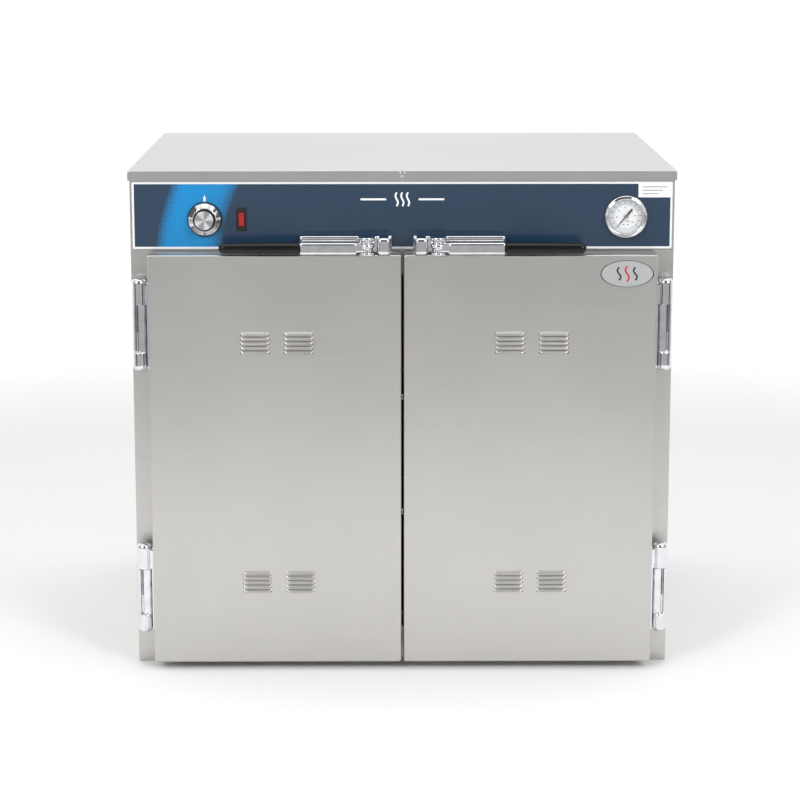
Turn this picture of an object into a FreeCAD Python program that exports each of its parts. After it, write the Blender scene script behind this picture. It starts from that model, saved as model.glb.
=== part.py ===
"""Food holding cabinet: a low, insulated stainless box that keeps pans of cooked food warm.

Two doors close the front, each on two lift-off hinges and with a lever latch on its top edge.
A heating cable is wound round the liner, and the controls sit behind the panel above the doors.
Millimetres. X is to the right seen from the front, Y goes to the back and Z up. The origin is
the centre of the flat base. A side of -1 means the left half and +1 the right half, and `u` is
a distance from the middle plane of the cabinet.
"""
import FreeCAD, Part
import math
import os

V = FreeCAD.Vector

# ------------------------------------------------------------------ driving dimensions
# Shell
BODY_W = 676.0              # across the side panels
BODY_D = 521.0              # face frame to back panel
BODY_H = 630.0              # floor to the top of the cover
SHEET = 1.2                 # outer stainless sheet
FACE_T = 1.5                # face frame and control panel sheet
BEND_R = 2.0                # outside radius of the sheet bends
RETURN_W = 20.0             # flanges that the side panels turn in
PAN_WALL_H = 20.0           # upturned wall of the bottom pan
COVER_SIDE = 2.0            # how far the cover stands out past the sides
COVER_FRONT = 3.0
COVER_REAR = 2.0
COVER_FLANGE = 12.5         # depth of the cover's turned-down edge

# Cavity, its insulation and the heating cable
CAVITY_W = 556.0
CAVITY_D = 481.0            # behind the face frame
CAVITY_FLOOR = 46.0         # height of the cavity floor
CAVITY_HEAD = 29.7          # door top down to the cavity ceiling
LINER_T = 1.0
LINER_R = 6.0               # inside corner radius of the liner
LINER_LIP = 10.0            # front lip welded to the face frame
CABLE_SPACE = 4.0           # room for the cable between liner and insulation
CABLE_R = 1.5
CABLE_LOOPS = 7
CABLE_INSET = 30.0          # first and last loop, from the ends of the liner
CABLE_LEAD_U = 40.0         # where the two cable ends turn up
LEAD_HOLE_R = 6.0

# Control panel
OVERLAY_T = 0.5
OVERLAY_H = 83.0
OVERLAY_SIDE = 3.3          # body side to overlay
OVERLAY_MARGIN = 2.0        # overlay top to the cover's edge
OVERLAY_DROP = 2.8          # door top to overlay bottom
PANEL_SEAM = 1.3            # door top to the joint between face frame and control panel
KNOB_SIDE = 93.2            # left body side to the knob's centre
KNOB_DROP = 4.5             # overlay centre to the knob's centre
KNOB_R = 21.5
KNOB_H = 17.5
SHAFT_R = 3.0
SHAFT_ROOM = 2.0            # round the shaft where it passes the panel
SHAFT_SINK = 17.0           # length of shaft inside the thermostat
SKIRT_T = 4.0
CORE_R = 12.8
CAP_R = 11.0
CAP_T = 1.6
RING_T = 7.2
LAMP_OFFSET = 45.4          # knob centre to lamp centre
LAMP_W = 12.0
LAMP_H = 28.3
LAMP_BODY_W = 9.6
LAMP_BODY_H = 23.9
LAMP_BODY_L = 26.0
LAMP_BEZEL_T = 2.2
LENS_SINK = 4.0
LENS_STAND = 1.0            # how far the lens stands out of its bezel
LENS_W = 7.4
LENS_H = 17.0
GAUGE_SIDE = 61.0           # right body side to the thermometer's centre
GAUGE_DROP = 1.4
GAUGE_R = 26.5
CUP_R = 22.5                # cup behind the panel, and the window's seat
CUP_L = 24.0
DIAL_R = 21.2
DIAL_T = 0.8
DIAL_SEAT = 2.0             # panel face to the dial's seat
WINDOW_SINK = 2.0
WINDOW_T = 1.4
STAFF_R = 0.8
STAFF_SINK = 3.0
NEEDLE_T = 0.8
NEEDLE_RISE = 0.8           # dial to needle
HUB_R = 2.2
GAUGE_STAND = 8.0           # how far the bezel stands proud
NEEDLE_TIP = 16.5
NEEDLE_TAIL = 12.0
NEEDLE_ANGLE = 230.0        # cold reading, anticlockwise from +X as the front is seen

# Doors
DOOR_LIFT = 9.6             # floor to door bottom
DOOR_SIDE = 24.0            # body side to the door's outer edge
DOOR_SEAM = 2.8             # gap between the two doors
DOOR_T = 34.8
DOOR_STANDOFF = 4.0         # face frame to the back of the door, filled by the gasket
INNER_T = 1.0
INNER_LIP = 14.0            # forward flange of the door's inner pan
DOOR_AIR = 6.0              # skin edge to the insulation inside the door
GASKET_LAND = 7.0           # cavity edge to the gasket
GASKET_W = 12.0
GASKET_SEAM = 3.0           # door's inner edge to the gasket
GASKET_R = 2.0

# Louvres and their slides
VENT_U = {-1: 155.6, 1: 160.2}   # middle of each door's vents from the middle plane
VENT_TOP_DROP = 109.3       # door top to the middle of the upper vents
VENT_BOTTOM_RISE = 105.6    # door bottom to the middle of the lower vents
BLOCK_OFFSET = 27.1         # vent middle to the middle of each louvre block
LOUVRE_W = 36.2
LOUVRE_H = 4.4
LOUVRE_PITCH = 5.8
LOUVRE_COUNT = 5
LOUVRE_STAND = 2.6
LOUVRE_T = 0.7
DUCT_W = 104.0
DUCT_H = 34.0
DUCT_T = 0.8
PORT_W = 8.0
PORT_H = 22.0
PORT_PITCH = 18.0
PORT_COUNT = 5
SLIDE_W = 106.0
SLIDE_H = 33.0
SLIDE_T = 0.8
SLIDE_TRAVEL = 9.0
TRACK_LIP = 3.0
TRACK_FOOT = 4.0
TAB_INSET = 5.0             # end of a slide to its finger tab
TAB_STAND = 7.0
TAB_H = 12.0
TAB_T = 1.0

# Hinges
LEAF_GAP = 0.5              # between a housing and the leaf beside it
HINGE_AXIS_FRONT = 20.5     # face frame to the pin
HINGE_LOWER_H = 83.5        # housing on the frame
HINGE_UPPER_H = 32.5        # knuckle on the door
HINGE_TOP_DROP = 31.2       # door top to the upper hinge
HINGE_BOTTOM_RISE = 35.4    # door bottom to the lower hinge
KNUCKLE_R = 9.5
PIN_R = 4.0
HOUSING_FILLET = 4.0
KNUCKLE_DOME = 5.5
FRAME_SCREW_L = 9.5         # how far the frame screws reach into the housings
LEAF_SCREW_L = 6.0          # how far the leaf screws reach into the door
LEAF_SCREW_FRONT = 5.0      # pin to the leaf screws
LEAF_SCREW_SINK = 1.2
PIN_SINK = 35.0
PIN_RISE = 20.0
LEAF_T = 2.0
LEAF_D = 26.0

# Latches
LATCH_PIN_U = 44.0
LATCH_PIN_FRONT = 36.5      # face frame to the lever's pin
LATCH_IN_U = 15.0           # inner end of the base
LATCH_OUT_U = 127.0         # outer end of the base, and where the grip starts
LATCH_END_W = 16.0          # tall block at the inner end
LATCH_H = 19.3
LATCH_BODY_D = 23.0
LATCH_SCREWS_U = (75.0, 105.0)
LATCH_SCREW_BACK = 13.0     # back of the base to its screws
LATCH_SCREW_L = 5.2         # how far they reach into the door
LATCH_FLOOR = 6.0           # metal under their heads
LATCH_END_RISE = 2.0        # how much the inner block stands above the rest
EAR_R = 10.0
EAR_T = 3.3
LEVER_D = 11.0
LEVER_H = 13.2
LEVER_RISE = 7.3            # door top to the lever's centre line
GRIP_R = 6.8
GRIP_TIP_R = 5.2
GRIP_L = 99.0
SPIGOT_R = 4.0
LATCH_PIN_R = 2.5
LATCH_PIN_HEAD_R = 4.0
LATCH_PIN_HEAD_H = 1.2
SPIGOT_SHORT = 14.0         # grip's tip to the end of the spigot
LEVER_FORWARD = 3.0         # lever's centre line in front of its pin
MAGNET_W = 50.0
MAGNET_D = 6.0
MAGNET_H = 11.8
MAGNET_RISE = 3.5           # door top to the magnet
STRIKE_RIM = 4.0            # strike plate past the magnet's ends
STRIKE_T = 1.5

# Racks, shelves and tray
ROD_R = 3.0
RUNG_R = 2.5
CROSS_R = 2.6               # cross rods under a shelf's wires
WIRE_R = 1.5
RACK_POSTS = 3
RACK_TOP_DROP = 30.0        # cavity ceiling to the top of the posts
RUNG_FIRST = 34.0           # cavity floor to the first rung
RUNG_PITCH = 50.0
RUNG_OVERHANG = 12.0        # rung ends past the posts
WELD = 0.5                  # how far welded wires sink into each other
SHELF_OVERHANG = 8.0        # shelf ends past the posts
SHELF_RUNGS = (2, 5)        # rungs that carry the two shelves
WIRE_PITCH = 26.0
RACK_FRONT_GAP = 45.0       # face frame to the front post
RACK_REAR_GAP = 40.0
TRAY_H = 12.0
TRAY_T = 0.8
TRAY_R = 4.0
TRAY_OVERHANG = 14.0        # tray ends past the rack posts
TRAY_SIDE_GAP = 23.0

# Fasteners, feet and fittings
LEG_INSET = 60.0            # body sides to the leg holes
LEG_HOLE_R = 4.0
LEG_PLATE = 60.0
LEG_PLATE_T = 4.0
SCREW_R = 2.0
SCREW_HEAD_R = 3.5
SCREW_HEAD_H = 1.8
BACK_SCREW_L = 8.0
BACK_SCREW_ROWS = 4
BACK_SCREW_INSET = 40.0     # panel's ends to the first and last row
REAR_SLOT_W = 60.0          # air slots of the control compartment, in the back panel
REAR_SLOT_H = 3.5
REAR_SLOT_PITCH = 9.0
REAR_SLOT_ROWS = 5
REAR_SLOT_COLUMN = 80.0     # from one column of slots to the next
COVER_SCREW_HEAD_R = 4.6
GLAND_R = 11.0
GLAND_NECK_R = 9.0          # where it passes the back panel
GLAND_SIDE = 90.0           # body side to the gland
GLAND_BORE_R = 4.5
GLAND_FRONT_L = 12.0
GLAND_REAR_L = 15.0
BADGE_W = 67.0
BADGE_H = 34.0
BADGE_T = 1.0
BADGE_SIDE = 37.7           # door's outer edge to the badge's centre
BADGE_DROP = 23.4
THERMOSTAT_W = 46.0
THERMOSTAT_D = 38.0
BULB_R = 4.0
BULB_L = 80.0
BULB_SETBACK = 36.0         # from the capillary's drop to the bulb
CAPILLARY_R = 1.2
CAPILLARY_ROOM = 1.0
CAPILLARY_BEND = 8.0
CLIP_W = 8.0
CLIP_T = 1.5
CLIP_STEM = 4.0
BULB_DROP = 12.0            # cavity ceiling to the bulb's axis
TERMINAL_W = 70.0           # terminal block in the control compartment
TERMINAL_D = 30.0
TERMINAL_H = 18.0
TERMINAL_Y = -45.0
TERMINAL_WAYS = 6
TERMINAL_PITCH = 11.0
LEAD_R = 2.0
LEAD_BEND = 30.0

# Clearances
SLIP = 0.3                  # between flat or curved faces that pass each other
FIT = 0.05                  # radial running clearance of a pin or shaft
TINY = 0.2                  # between pieces that lie against each other
OVER = 1.0                  # how far a cutter reaches past a face
REACH = 5.0                 # the same for a cutter through several sheets

# ------------------------------------------------------------------ places worked out from them
HALF_W = BODY_W / 2
FRONT = -BODY_D / 2
REAR = BODY_D / 2
COVER_UNDER = BODY_H - SHEET
OVERLAY_TOP = BODY_H - COVER_FLANGE - OVERLAY_MARGIN
OVERLAY_BOTTOM = OVERLAY_TOP - OVERLAY_H
OVERLAY_MID = (OVERLAY_TOP + OVERLAY_BOTTOM) / 2
OVERLAY_FRONT = FRONT - OVERLAY_T
DOOR_TOP = OVERLAY_BOTTOM - OVERLAY_DROP
SEAM_Z = DOOR_TOP + PANEL_SEAM
FACE_BACK = FRONT + FACE_T
RETURN_BACK = FACE_BACK + SHEET
BACK_RETURN = REAR - 2 * SHEET
INSIDE_W = HALF_W - SHEET

CAVITY_U = CAVITY_W / 2
CAVITY_TOP = DOOR_TOP - CAVITY_HEAD
CAVITY_REAR = FACE_BACK + CAVITY_D

DOOR_OUT = HALF_W - DOOR_SIDE
DOOR_IN = DOOR_SEAM / 2
DOOR_BACK = FRONT - DOOR_STANDOFF
DOOR_FRONT = DOOR_BACK - DOOR_T

HINGE_U = DOOR_OUT + LEAF_T + LEAF_GAP + KNUCKLE_R
HINGE_Y = FRONT - HINGE_AXIS_FRONT
HINGE_H = HINGE_LOWER_H + HINGE_UPPER_H
HINGE_BOTTOMS = (DOOR_LIFT + HINGE_BOTTOM_RISE, DOOR_TOP - HINGE_TOP_DROP - HINGE_H)
FRAME_SCREWS_UP = (18.0, HINGE_LOWER_H - 22.0)
LEAF_SCREWS_UP = (20.0, HINGE_LOWER_H - 20.0)

KNOB_X = KNOB_SIDE - HALF_W
KNOB_Z = OVERLAY_MID - KNOB_DROP
KNOB_BACK = OVERLAY_FRONT - SLIP
KNOB_SOCKET = KNOB_H - 2 * CAP_T
LAMP_X = KNOB_X + LAMP_OFFSET
LENS_FRONT = OVERLAY_FRONT - LAMP_BEZEL_T - LENS_STAND
GAUGE_X = HALF_W - GAUGE_SIDE
GAUGE_Z = OVERLAY_MID - GAUGE_DROP

TRACK_W = SLIDE_W + 2 * SLIDE_TRAVEL
LATCH_Y = FRONT - LATCH_PIN_FRONT
LEVER_Z = DOOR_TOP + LEVER_RISE
LEVER_Y = LATCH_Y - LEVER_FORWARD
LATCH_BACK = OVERLAY_FRONT - STRIKE_T - 3 * SLIP
MAGNET_U = (LATCH_PIN_U + EAR_R + LATCH_OUT_U) / 2
VENT_ZS = (DOOR_LIFT + VENT_BOTTOM_RISE, DOOR_TOP - VENT_TOP_DROP)

LINER_OUT_U = CAVITY_U + LINER_T
CABLE_U = LINER_OUT_U + CABLE_R + SLIP
CABLE_TOP = CAVITY_TOP + LINER_T + CABLE_R + SLIP
CABLE_BOTTOM = CAVITY_FLOOR - LINER_T - CABLE_R - SLIP
CABLE_FIRST = FACE_BACK + CABLE_INSET
CABLE_LAST = CAVITY_REAR - CABLE_INSET
CABLE_END_Z = SEAM_Z + SHEET + 12.0

RACK_HEIGHT = CAVITY_TOP - RACK_TOP_DROP - CAVITY_FLOOR
RUNG_COUNT = int((RACK_HEIGHT - RUNG_FIRST) / RUNG_PITCH) + 1
POST_U = CAVITY_U - LINER_R - ROD_R - TINY
RUNG_U = POST_U - ROD_R - RUNG_R + WELD
SHELF_ROD_U = POST_U - 2 * ROD_R - TINY
RACK_FRONT = FRONT + RACK_FRONT_GAP
RACK_REAR = CAVITY_REAR - RACK_REAR_GAP
SENSOR_Y = RACK_FRONT + 27.0
SENSOR_U = POST_U - 26.0


# ------------------------------------------------------------------ shape helpers
def block(x0, x1, y0, y1, z0, z1):
    """A box between two opposite corners."""
    low = V(min(x0, x1), min(y0, y1), min(z0, z1))
    return Part.makeBox(abs(x1 - x0), abs(y1 - y0), abs(z1 - z0), low)


def rod(radius, start, end):
    """A round bar from one point to another."""
    run = end - start
    return Part.makeCylinder(radius, run.Length, start, run)


def along_y(radius, x, z, y0, y1):
    return rod(radius, V(x, min(y0, y1), z), V(x, max(y0, y1), z))


def along_z(radius, x, y, z0, z1):
    return rod(radius, V(x, y, min(z0, z1)), V(x, y, max(z0, z1)))


def joined(shapes):
    """One solid from several that overlap."""
    whole = shapes[0].multiFuse(shapes[1:]) if len(shapes) > 1 else shapes[0]
    return whole.removeSplitter()


def less(shape, cutters):
    """A shape with all the cutters taken out of it."""
    return shape.cut(Part.makeCompound(cutters)) if cutters else shape


def edges_where(shape, test):
    """Edges whose every vertex passes the test."""
    return [e for e in shape.Edges if all(test(v.Point) for v in e.Vertexes)]


def near(a, b):
    return abs(a - b) < 1e-6


def long_edges(shape, direction):
    """Straight edges of a shape that run in one direction."""
    found = []
    for edge in shape.Edges:
        ends = [v.Point for v in edge.Vertexes]
        if len(ends) == 2 and (ends[1] - ends[0]).cross(direction).Length < 1e-6:
            found.append(edge)
    return found


def rounded_y(x0, x1, y0, y1, z0, z1, radius):
    """A box with its four edges along Y rounded."""
    shape = block(x0, x1, y0, y1, z0, z1)
    return shape.makeFillet(radius, long_edges(shape, V(0, 1, 0)))


def turned(points, origin, axis, across):
    """A solid of revolution from (along, radius) points about an axis through the origin."""
    at = [origin + axis * a + across * r for a, r in points]
    face = Part.Face(Part.makePolygon(at + [at[0]]))
    return face.revolve(origin, axis, 360)


def facing(points, x, y, z):
    """A turned piece on the control panel: `along` is measured forward from the plane y."""
    return turned(points, V(x, y, z), V(0, -1, 0), V(1, 0, 0))


def tube(points, radius, bend):
    """A round tube along straight runs joined by tangent arcs of at most the given radius."""
    edges = []
    last = points[0]
    for before, corner, after in zip(points, points[1:], points[2:]):
        arriving = (corner - before).normalize()
        leaving = (after - corner).normalize()
        half_turn = arriving.getAngle(leaving) / 2
        longest = 0.45 * min((corner - before).Length, (after - corner).Length)
        setback = min(bend * math.tan(half_turn), longest)
        start, end = corner - arriving * setback, corner + leaving * setback
        arc_radius = setback / math.tan(half_turn)
        inward = (leaving - arriving).normalize()
        centre = corner + inward * (arc_radius / math.cos(half_turn))
        middle = centre - inward * arc_radius
        edges += [Part.LineSegment(last, start).toShape(), Part.Arc(start, middle, end).toShape()]
        last = end
    edges.append(Part.LineSegment(last, points[-1]).toShape())
    path = Part.Wire(edges)
    ring = Part.Wire(Part.Circle(points[0], points[1] - points[0], radius).toShape())
    return path.makePipeShell([ring], True, False)


# ------------------------------------------------------------------ shell
def frame_screw_places():
    """Where screws hold the hinge housings to the face frame."""
    return [(side * HINGE_U, bottom + up)
            for side in (-1, 1) for bottom in HINGE_BOTTOMS for up in FRAME_SCREWS_UP]


def leg_places():
    half_x, half_y = HALF_W - LEG_INSET, BODY_D / 2 - LEG_INSET
    return [(x, y) for x in (-half_x, half_x) for y in (-half_y, half_y)]


def back_screw_places():
    """Screws through the back panel into the side panels' rear flanges."""
    u = HALF_W - RETURN_W / 2
    pitch = (COVER_UNDER - 2 * BACK_SCREW_INSET) / (BACK_SCREW_ROWS - 1)
    return [(side * u, BACK_SCREW_INSET + pitch * k)
            for side in (-1, 1) for k in range(BACK_SCREW_ROWS)]


def side_panel(side):
    front, rear = FACE_BACK, REAR - SHEET
    shell = block(side * HALF_W, side * (HALF_W - RETURN_W), front, rear, 0, COVER_UNDER)
    corners = [e for e in long_edges(shell, V(0, 0, 1)) if near(abs(e.Vertexes[0].Point.x), HALF_W)]
    shell = shell.makeFillet(BEND_R, corners)
    hollow = block(side * INSIDE_W, 0, front + SHEET, rear - SHEET, -OVER, COVER_UNDER + OVER)
    holes = [along_y(SCREW_R + FIT, x, z, FRONT, FRONT + REACH) for x, z in frame_screw_places()]
    holes += [along_y(SCREW_R + FIT, x, z, REAR - REACH, REAR) for x, z in back_screw_places()]
    return less(shell, [hollow] + holes)


def back_panel():
    panel = block(-INSIDE_W, INSIDE_W, REAR - SHEET, REAR, 0, COVER_UNDER)
    cuts = [along_y(SCREW_R + FIT, x, z, REAR - REACH, REAR + OVER) for x, z in back_screw_places()]
    cuts.append(along_y(GLAND_NECK_R, *gland_place(), REAR - REACH, REAR + OVER))
    half = REAR_SLOT_W / 2
    for column in (-1, 0, 1):
        for row in range(REAR_SLOT_ROWS):
            x = column * REAR_SLOT_COLUMN
            z = OVERLAY_MID + (row - REAR_SLOT_ROWS / 2) * REAR_SLOT_PITCH
            cuts.append(block(x - half, x + half, REAR - REACH, REAR + OVER, z, z + REAR_SLOT_H))
    return less(panel, cuts)


def bottom_pan():
    """Pan that closes the base, with four plates welded in it and tapped for legs or casters."""
    rear = BACK_RETURN
    outer = block(-INSIDE_W, INSIDE_W, RETURN_BACK, rear, 0, PAN_WALL_H)
    inner = block(-INSIDE_W + SHEET, INSIDE_W - SHEET, RETURN_BACK + SHEET, rear - SHEET,
                  SHEET, PAN_WALL_H + OVER)
    half = LEG_PLATE / 2
    plates = [block(x - half, x + half, y - half, y + half, SHEET, SHEET + LEG_PLATE_T)
              for x, y in leg_places()]
    holes = [along_z(LEG_HOLE_R, x, y, -OVER, SHEET + LEG_PLATE_T + OVER) for x, y in leg_places()]
    return less(joined([outer.cut(inner)] + plates), holes)


def top_cover():
    left, right = -HALF_W - COVER_SIDE, HALF_W + COVER_SIDE
    front, rear = FRONT - COVER_FRONT, REAR + COVER_REAR
    bottom = BODY_H - COVER_FLANGE
    outer = block(left, right, front, rear, bottom, BODY_H)
    outer = outer.makeFillet(BEND_R, edges_where(outer, lambda p: near(p.z, BODY_H))
                             + long_edges(outer, V(0, 0, 1)))
    inner = block(left + SHEET, right - SHEET, front + SHEET, rear - SHEET,
                  bottom - OVER, COVER_UNDER)
    return less(outer, [inner, cover_screw_hole()])


def cover_screw_z():
    return BODY_H - COVER_SCREW_HEAD_R


def cover_screw_hole():
    return along_y(SCREW_R + FIT, 0, cover_screw_z(), FRONT - REACH, FRONT + REACH)


def face_frame():
    sheet = block(-INSIDE_W, INSIDE_W, FRONT, FACE_BACK, 0, SEAM_Z)
    mouth = rounded_y(-CAVITY_U, CAVITY_U, FRONT - OVER, FACE_BACK + OVER,
                      CAVITY_FLOOR, CAVITY_TOP, LINER_R)
    holes = [along_y(SCREW_R + FIT, x, z, FRONT - OVER, FRONT + REACH)
             for x, z in frame_screw_places()]
    return less(sheet, [mouth] + holes)


def panel_cuts():
    """Holes through the overlay and the control panel for the knob, lamp and thermometer."""
    y0, y1 = FRONT - OVER, FRONT + REACH
    half_w, half_h = LAMP_BODY_W / 2 + TINY, LAMP_BODY_H / 2 + TINY
    return [along_y(SHAFT_R + SHAFT_ROOM, KNOB_X, KNOB_Z, y0, y1),
            block(LAMP_X - half_w, LAMP_X + half_w, y0, y1, KNOB_Z - half_h, KNOB_Z + half_h),
            along_y(CUP_R + SLIP, GAUGE_X, GAUGE_Z, y0, y1)]


def control_panel():
    sheet = block(-INSIDE_W, INSIDE_W, FRONT, FACE_BACK, SEAM_Z + TINY, COVER_UNDER)
    return less(sheet, panel_cuts() + [cover_screw_hole()])


def control_overlay():
    half = HALF_W - OVERLAY_SIDE
    sheet = rounded_y(-half, half, OVERLAY_FRONT, FRONT, OVERLAY_BOTTOM, OVERLAY_TOP, 1.5)
    return less(sheet, panel_cuts())


def compartment_floor():
    floor = block(-INSIDE_W, INSIDE_W, RETURN_BACK, BACK_RETURN, SEAM_Z, SEAM_Z + SHEET)
    return less(floor, lead_holes() + sensor_holes())


# ------------------------------------------------------------------ liner, insulation and cable
def inner_liner():
    outer = rounded_y(-LINER_OUT_U, LINER_OUT_U, FACE_BACK, CAVITY_REAR + LINER_T,
                      CAVITY_FLOOR - LINER_T, CAVITY_TOP + LINER_T, LINER_R + LINER_T)
    edge = CAVITY_U + LINER_LIP
    lip = block(-edge, edge, FACE_BACK, FACE_BACK + LINER_T,
                CAVITY_FLOOR - LINER_LIP, CAVITY_TOP + LINER_LIP)
    hollow = rounded_y(-CAVITY_U, CAVITY_U, FACE_BACK - OVER, CAVITY_REAR,
                       CAVITY_FLOOR, CAVITY_TOP, LINER_R)
    return joined([less(joined([outer, lip]), [hollow] + sensor_holes())] + sensor_clips())


def lead_places():
    return [(CABLE_LEAD_U, CABLE_FIRST), (-CABLE_LEAD_U, CABLE_LAST)]


def lead_holes():
    return [along_z(LEAD_HOLE_R, x, y, CAVITY_TOP + LINER_T, SEAM_Z + REACH) for x, y in lead_places()]


def sensor_holes():
    radius = CAPILLARY_R + CAPILLARY_ROOM
    return [along_z(radius, side * SENSOR_U, SENSOR_Y, CAVITY_TOP - REACH, SEAM_Z + REACH)
            for side in (-1, 1)]


def insulation():
    """One blanket that wraps the liner on five sides, with room for the cable."""
    u = INSIDE_W - SHEET - SLIP
    outer = block(-u, u, RETURN_BACK + SHEET + SLIP, REAR - 3 * SHEET - SLIP,
                  SHEET + LEG_PLATE_T + SLIP, SEAM_Z - SLIP)
    room = LINER_T + CABLE_SPACE
    hollow = block(-CAVITY_U - room, CAVITY_U + room, FRONT, CAVITY_REAR + room,
                   CAVITY_FLOOR - room, CAVITY_TOP + room)
    pocket_r = SCREW_HEAD_R + SLIP
    pockets = [along_y(pocket_r, x, z, FRONT, RETURN_BACK + SCREW_HEAD_H + SLIP)
               for x, z in frame_screw_places()]
    pockets += [along_y(pocket_r, x, z, REAR - BACK_SCREW_L - SLIP, REAR)
                for x, z in back_screw_places()]
    return less(outer, [hollow] + lead_holes() + sensor_holes() + pockets)


def heating_cable():
    """One cable wound round the liner; its two ends turn up into the control compartment."""
    (start_x, start_y), (end_x, end_y) = lead_places()
    pitch = (CABLE_LAST - CABLE_FIRST) / (CABLE_LOOPS - 1)
    points = [V(start_x, start_y, CABLE_END_Z), V(start_x, start_y, CABLE_TOP)]
    for loop in range(CABLE_LOOPS):
        y = CABLE_FIRST + loop * pitch
        points += [V(-CABLE_U, y, CABLE_TOP), V(-CABLE_U, y, CABLE_BOTTOM),
                   V(CABLE_U, y, CABLE_BOTTOM), V(CABLE_U, y, CABLE_TOP)]
    points += [V(end_x, end_y, CABLE_TOP), V(end_x, end_y, CABLE_END_Z)]
    return tube(points, CABLE_R, LINER_R + LINER_T + SLIP + CABLE_R)


# ------------------------------------------------------------------ racks, shelves and tray
def side_rack(side):
    pitch = (RACK_REAR - RACK_FRONT) / (RACK_POSTS - 1)
    top = CAVITY_TOP - RACK_TOP_DROP
    bars = [along_z(ROD_R, side * POST_U, RACK_FRONT + k * pitch, CAVITY_FLOOR, top)
            for k in range(RACK_POSTS)]
    for k in range(RUNG_COUNT):
        z = rung_z(k)
        bars.append(along_y(RUNG_R, side * RUNG_U, z, RACK_FRONT - RUNG_OVERHANG,
                            RACK_REAR + RUNG_OVERHANG))
    return joined(bars)


def rung_z(k):
    return CAVITY_FLOOR + RUNG_FIRST + k * RUNG_PITCH


def shelf_z(index):
    """Height of a shelf's frame rods, which lie on a pair of rungs."""
    return rung_z(SHELF_RUNGS[index]) + RUNG_R + ROD_R + TINY


def shelf(index):
    z = shelf_z(index)
    front, rear = RACK_FRONT - SHELF_OVERHANG, RACK_REAR + SHELF_OVERHANG
    u = SHELF_ROD_U
    bars = [along_y(ROD_R, side * u, z, front - ROD_R, rear + ROD_R) for side in (-1, 1)]
    middle = (front + rear) / 2
    bars += [rod(CROSS_R, V(-u, y, z), V(u, y, z)) for y in (front, middle, rear)]
    count = int(2 * u / WIRE_PITCH)
    pitch = 2 * u / count
    for k in range(1, count):
        bars.append(along_y(WIRE_R, -u + k * pitch, z + CROSS_R + WIRE_R - WELD, front, rear))
    return joined(bars)


def drip_tray():
    u = CAVITY_U - TRAY_SIDE_GAP
    front, rear = RACK_FRONT - TRAY_OVERHANG, RACK_REAR + TRAY_OVERHANG
    outer = block(-u, u, front, rear, CAVITY_FLOOR, CAVITY_FLOOR + TRAY_H)
    outer = outer.makeFillet(TRAY_R, long_edges(outer, V(0, 0, 1)))
    inner = block(-u + TRAY_T, u - TRAY_T, front + TRAY_T, rear - TRAY_T,
                  CAVITY_FLOOR + TRAY_T, CAVITY_FLOOR + TRAY_H + OVER)
    return outer.cut(inner.makeFillet(TRAY_R - TRAY_T, long_edges(inner, V(0, 0, 1))))


# ------------------------------------------------------------------ controls
def thermostat():
    half = THERMOSTAT_W / 2
    body = block(KNOB_X - half, KNOB_X + half, FACE_BACK, FACE_BACK + THERMOSTAT_D,
                 KNOB_Z - half, KNOB_Z + half)
    bore = along_y(SHAFT_R + FIT, KNOB_X, KNOB_Z, FACE_BACK - OVER, FACE_BACK + SHAFT_SINK + SLIP)
    return body.cut(bore)


def knob_shaft():
    return along_y(SHAFT_R, KNOB_X, KNOB_Z, KNOB_BACK - KNOB_SOCKET + SLIP, FACE_BACK + SHAFT_SINK)


def knob():
    """Black base of the knob: a skirt and a core with the shaft's bore."""
    chamfer = 0.8
    core_h = KNOB_H - CAP_T
    profile = [(0, SHAFT_R + FIT), (0, KNOB_R), (SKIRT_T - chamfer, KNOB_R),
               (SKIRT_T, KNOB_R - chamfer), (SKIRT_T, CORE_R), (core_h, CORE_R - 0.4), (core_h, 0),
               (KNOB_SOCKET, 0), (KNOB_SOCKET, SHAFT_R + FIT)]
    return facing(profile, KNOB_X, KNOB_BACK, KNOB_Z)


def knob_ring():
    """Bright bevelled ring round the core of the knob."""
    bore, rim = CORE_R + TINY, KNOB_R - 1.5
    profile = [(0, bore), (0, rim), (1.4, rim - 0.3), (RING_T, bore + 1.4), (RING_T, bore)]
    return facing(profile, KNOB_X, KNOB_BACK - SKIRT_T, KNOB_Z)


def knob_cap():
    chamfer = 0.4
    profile = [(0, 0), (0, CAP_R), (CAP_T - chamfer, CAP_R), (CAP_T, CAP_R - chamfer), (CAP_T, 0)]
    return facing(profile, KNOB_X, KNOB_BACK - KNOB_H + CAP_T, KNOB_Z)


def indicator_lamp():
    half_w, half_h = LAMP_W / 2, LAMP_H / 2
    bezel = rounded_y(LAMP_X - half_w, LAMP_X + half_w, OVERLAY_FRONT - LAMP_BEZEL_T,
                      OVERLAY_FRONT, KNOB_Z - half_h, KNOB_Z + half_h, 1.2)
    half_w, half_h = LAMP_BODY_W / 2, LAMP_BODY_H / 2
    body = block(LAMP_X - half_w, LAMP_X + half_w, OVERLAY_FRONT, FACE_BACK + LAMP_BODY_L,
                 KNOB_Z - half_h, KNOB_Z + half_h)
    seat = block(LAMP_X - LENS_W / 2, LAMP_X + LENS_W / 2, LENS_FRONT, OVERLAY_FRONT + LENS_SINK,
                 KNOB_Z - LENS_H / 2, KNOB_Z + LENS_H / 2)
    return joined([bezel, body]).cut(seat)


def lamp_lens():
    half_w, half_h = LENS_W / 2 - FIT, LENS_H / 2 - FIT
    lens = block(LAMP_X - half_w, LAMP_X + half_w, LENS_FRONT, OVERLAY_FRONT + LENS_SINK,
                 KNOB_Z - half_h, KNOB_Z + half_h)
    return lens.makeFillet(0.8, edges_where(lens, lambda p: near(p.y, LENS_FRONT)))


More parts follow.
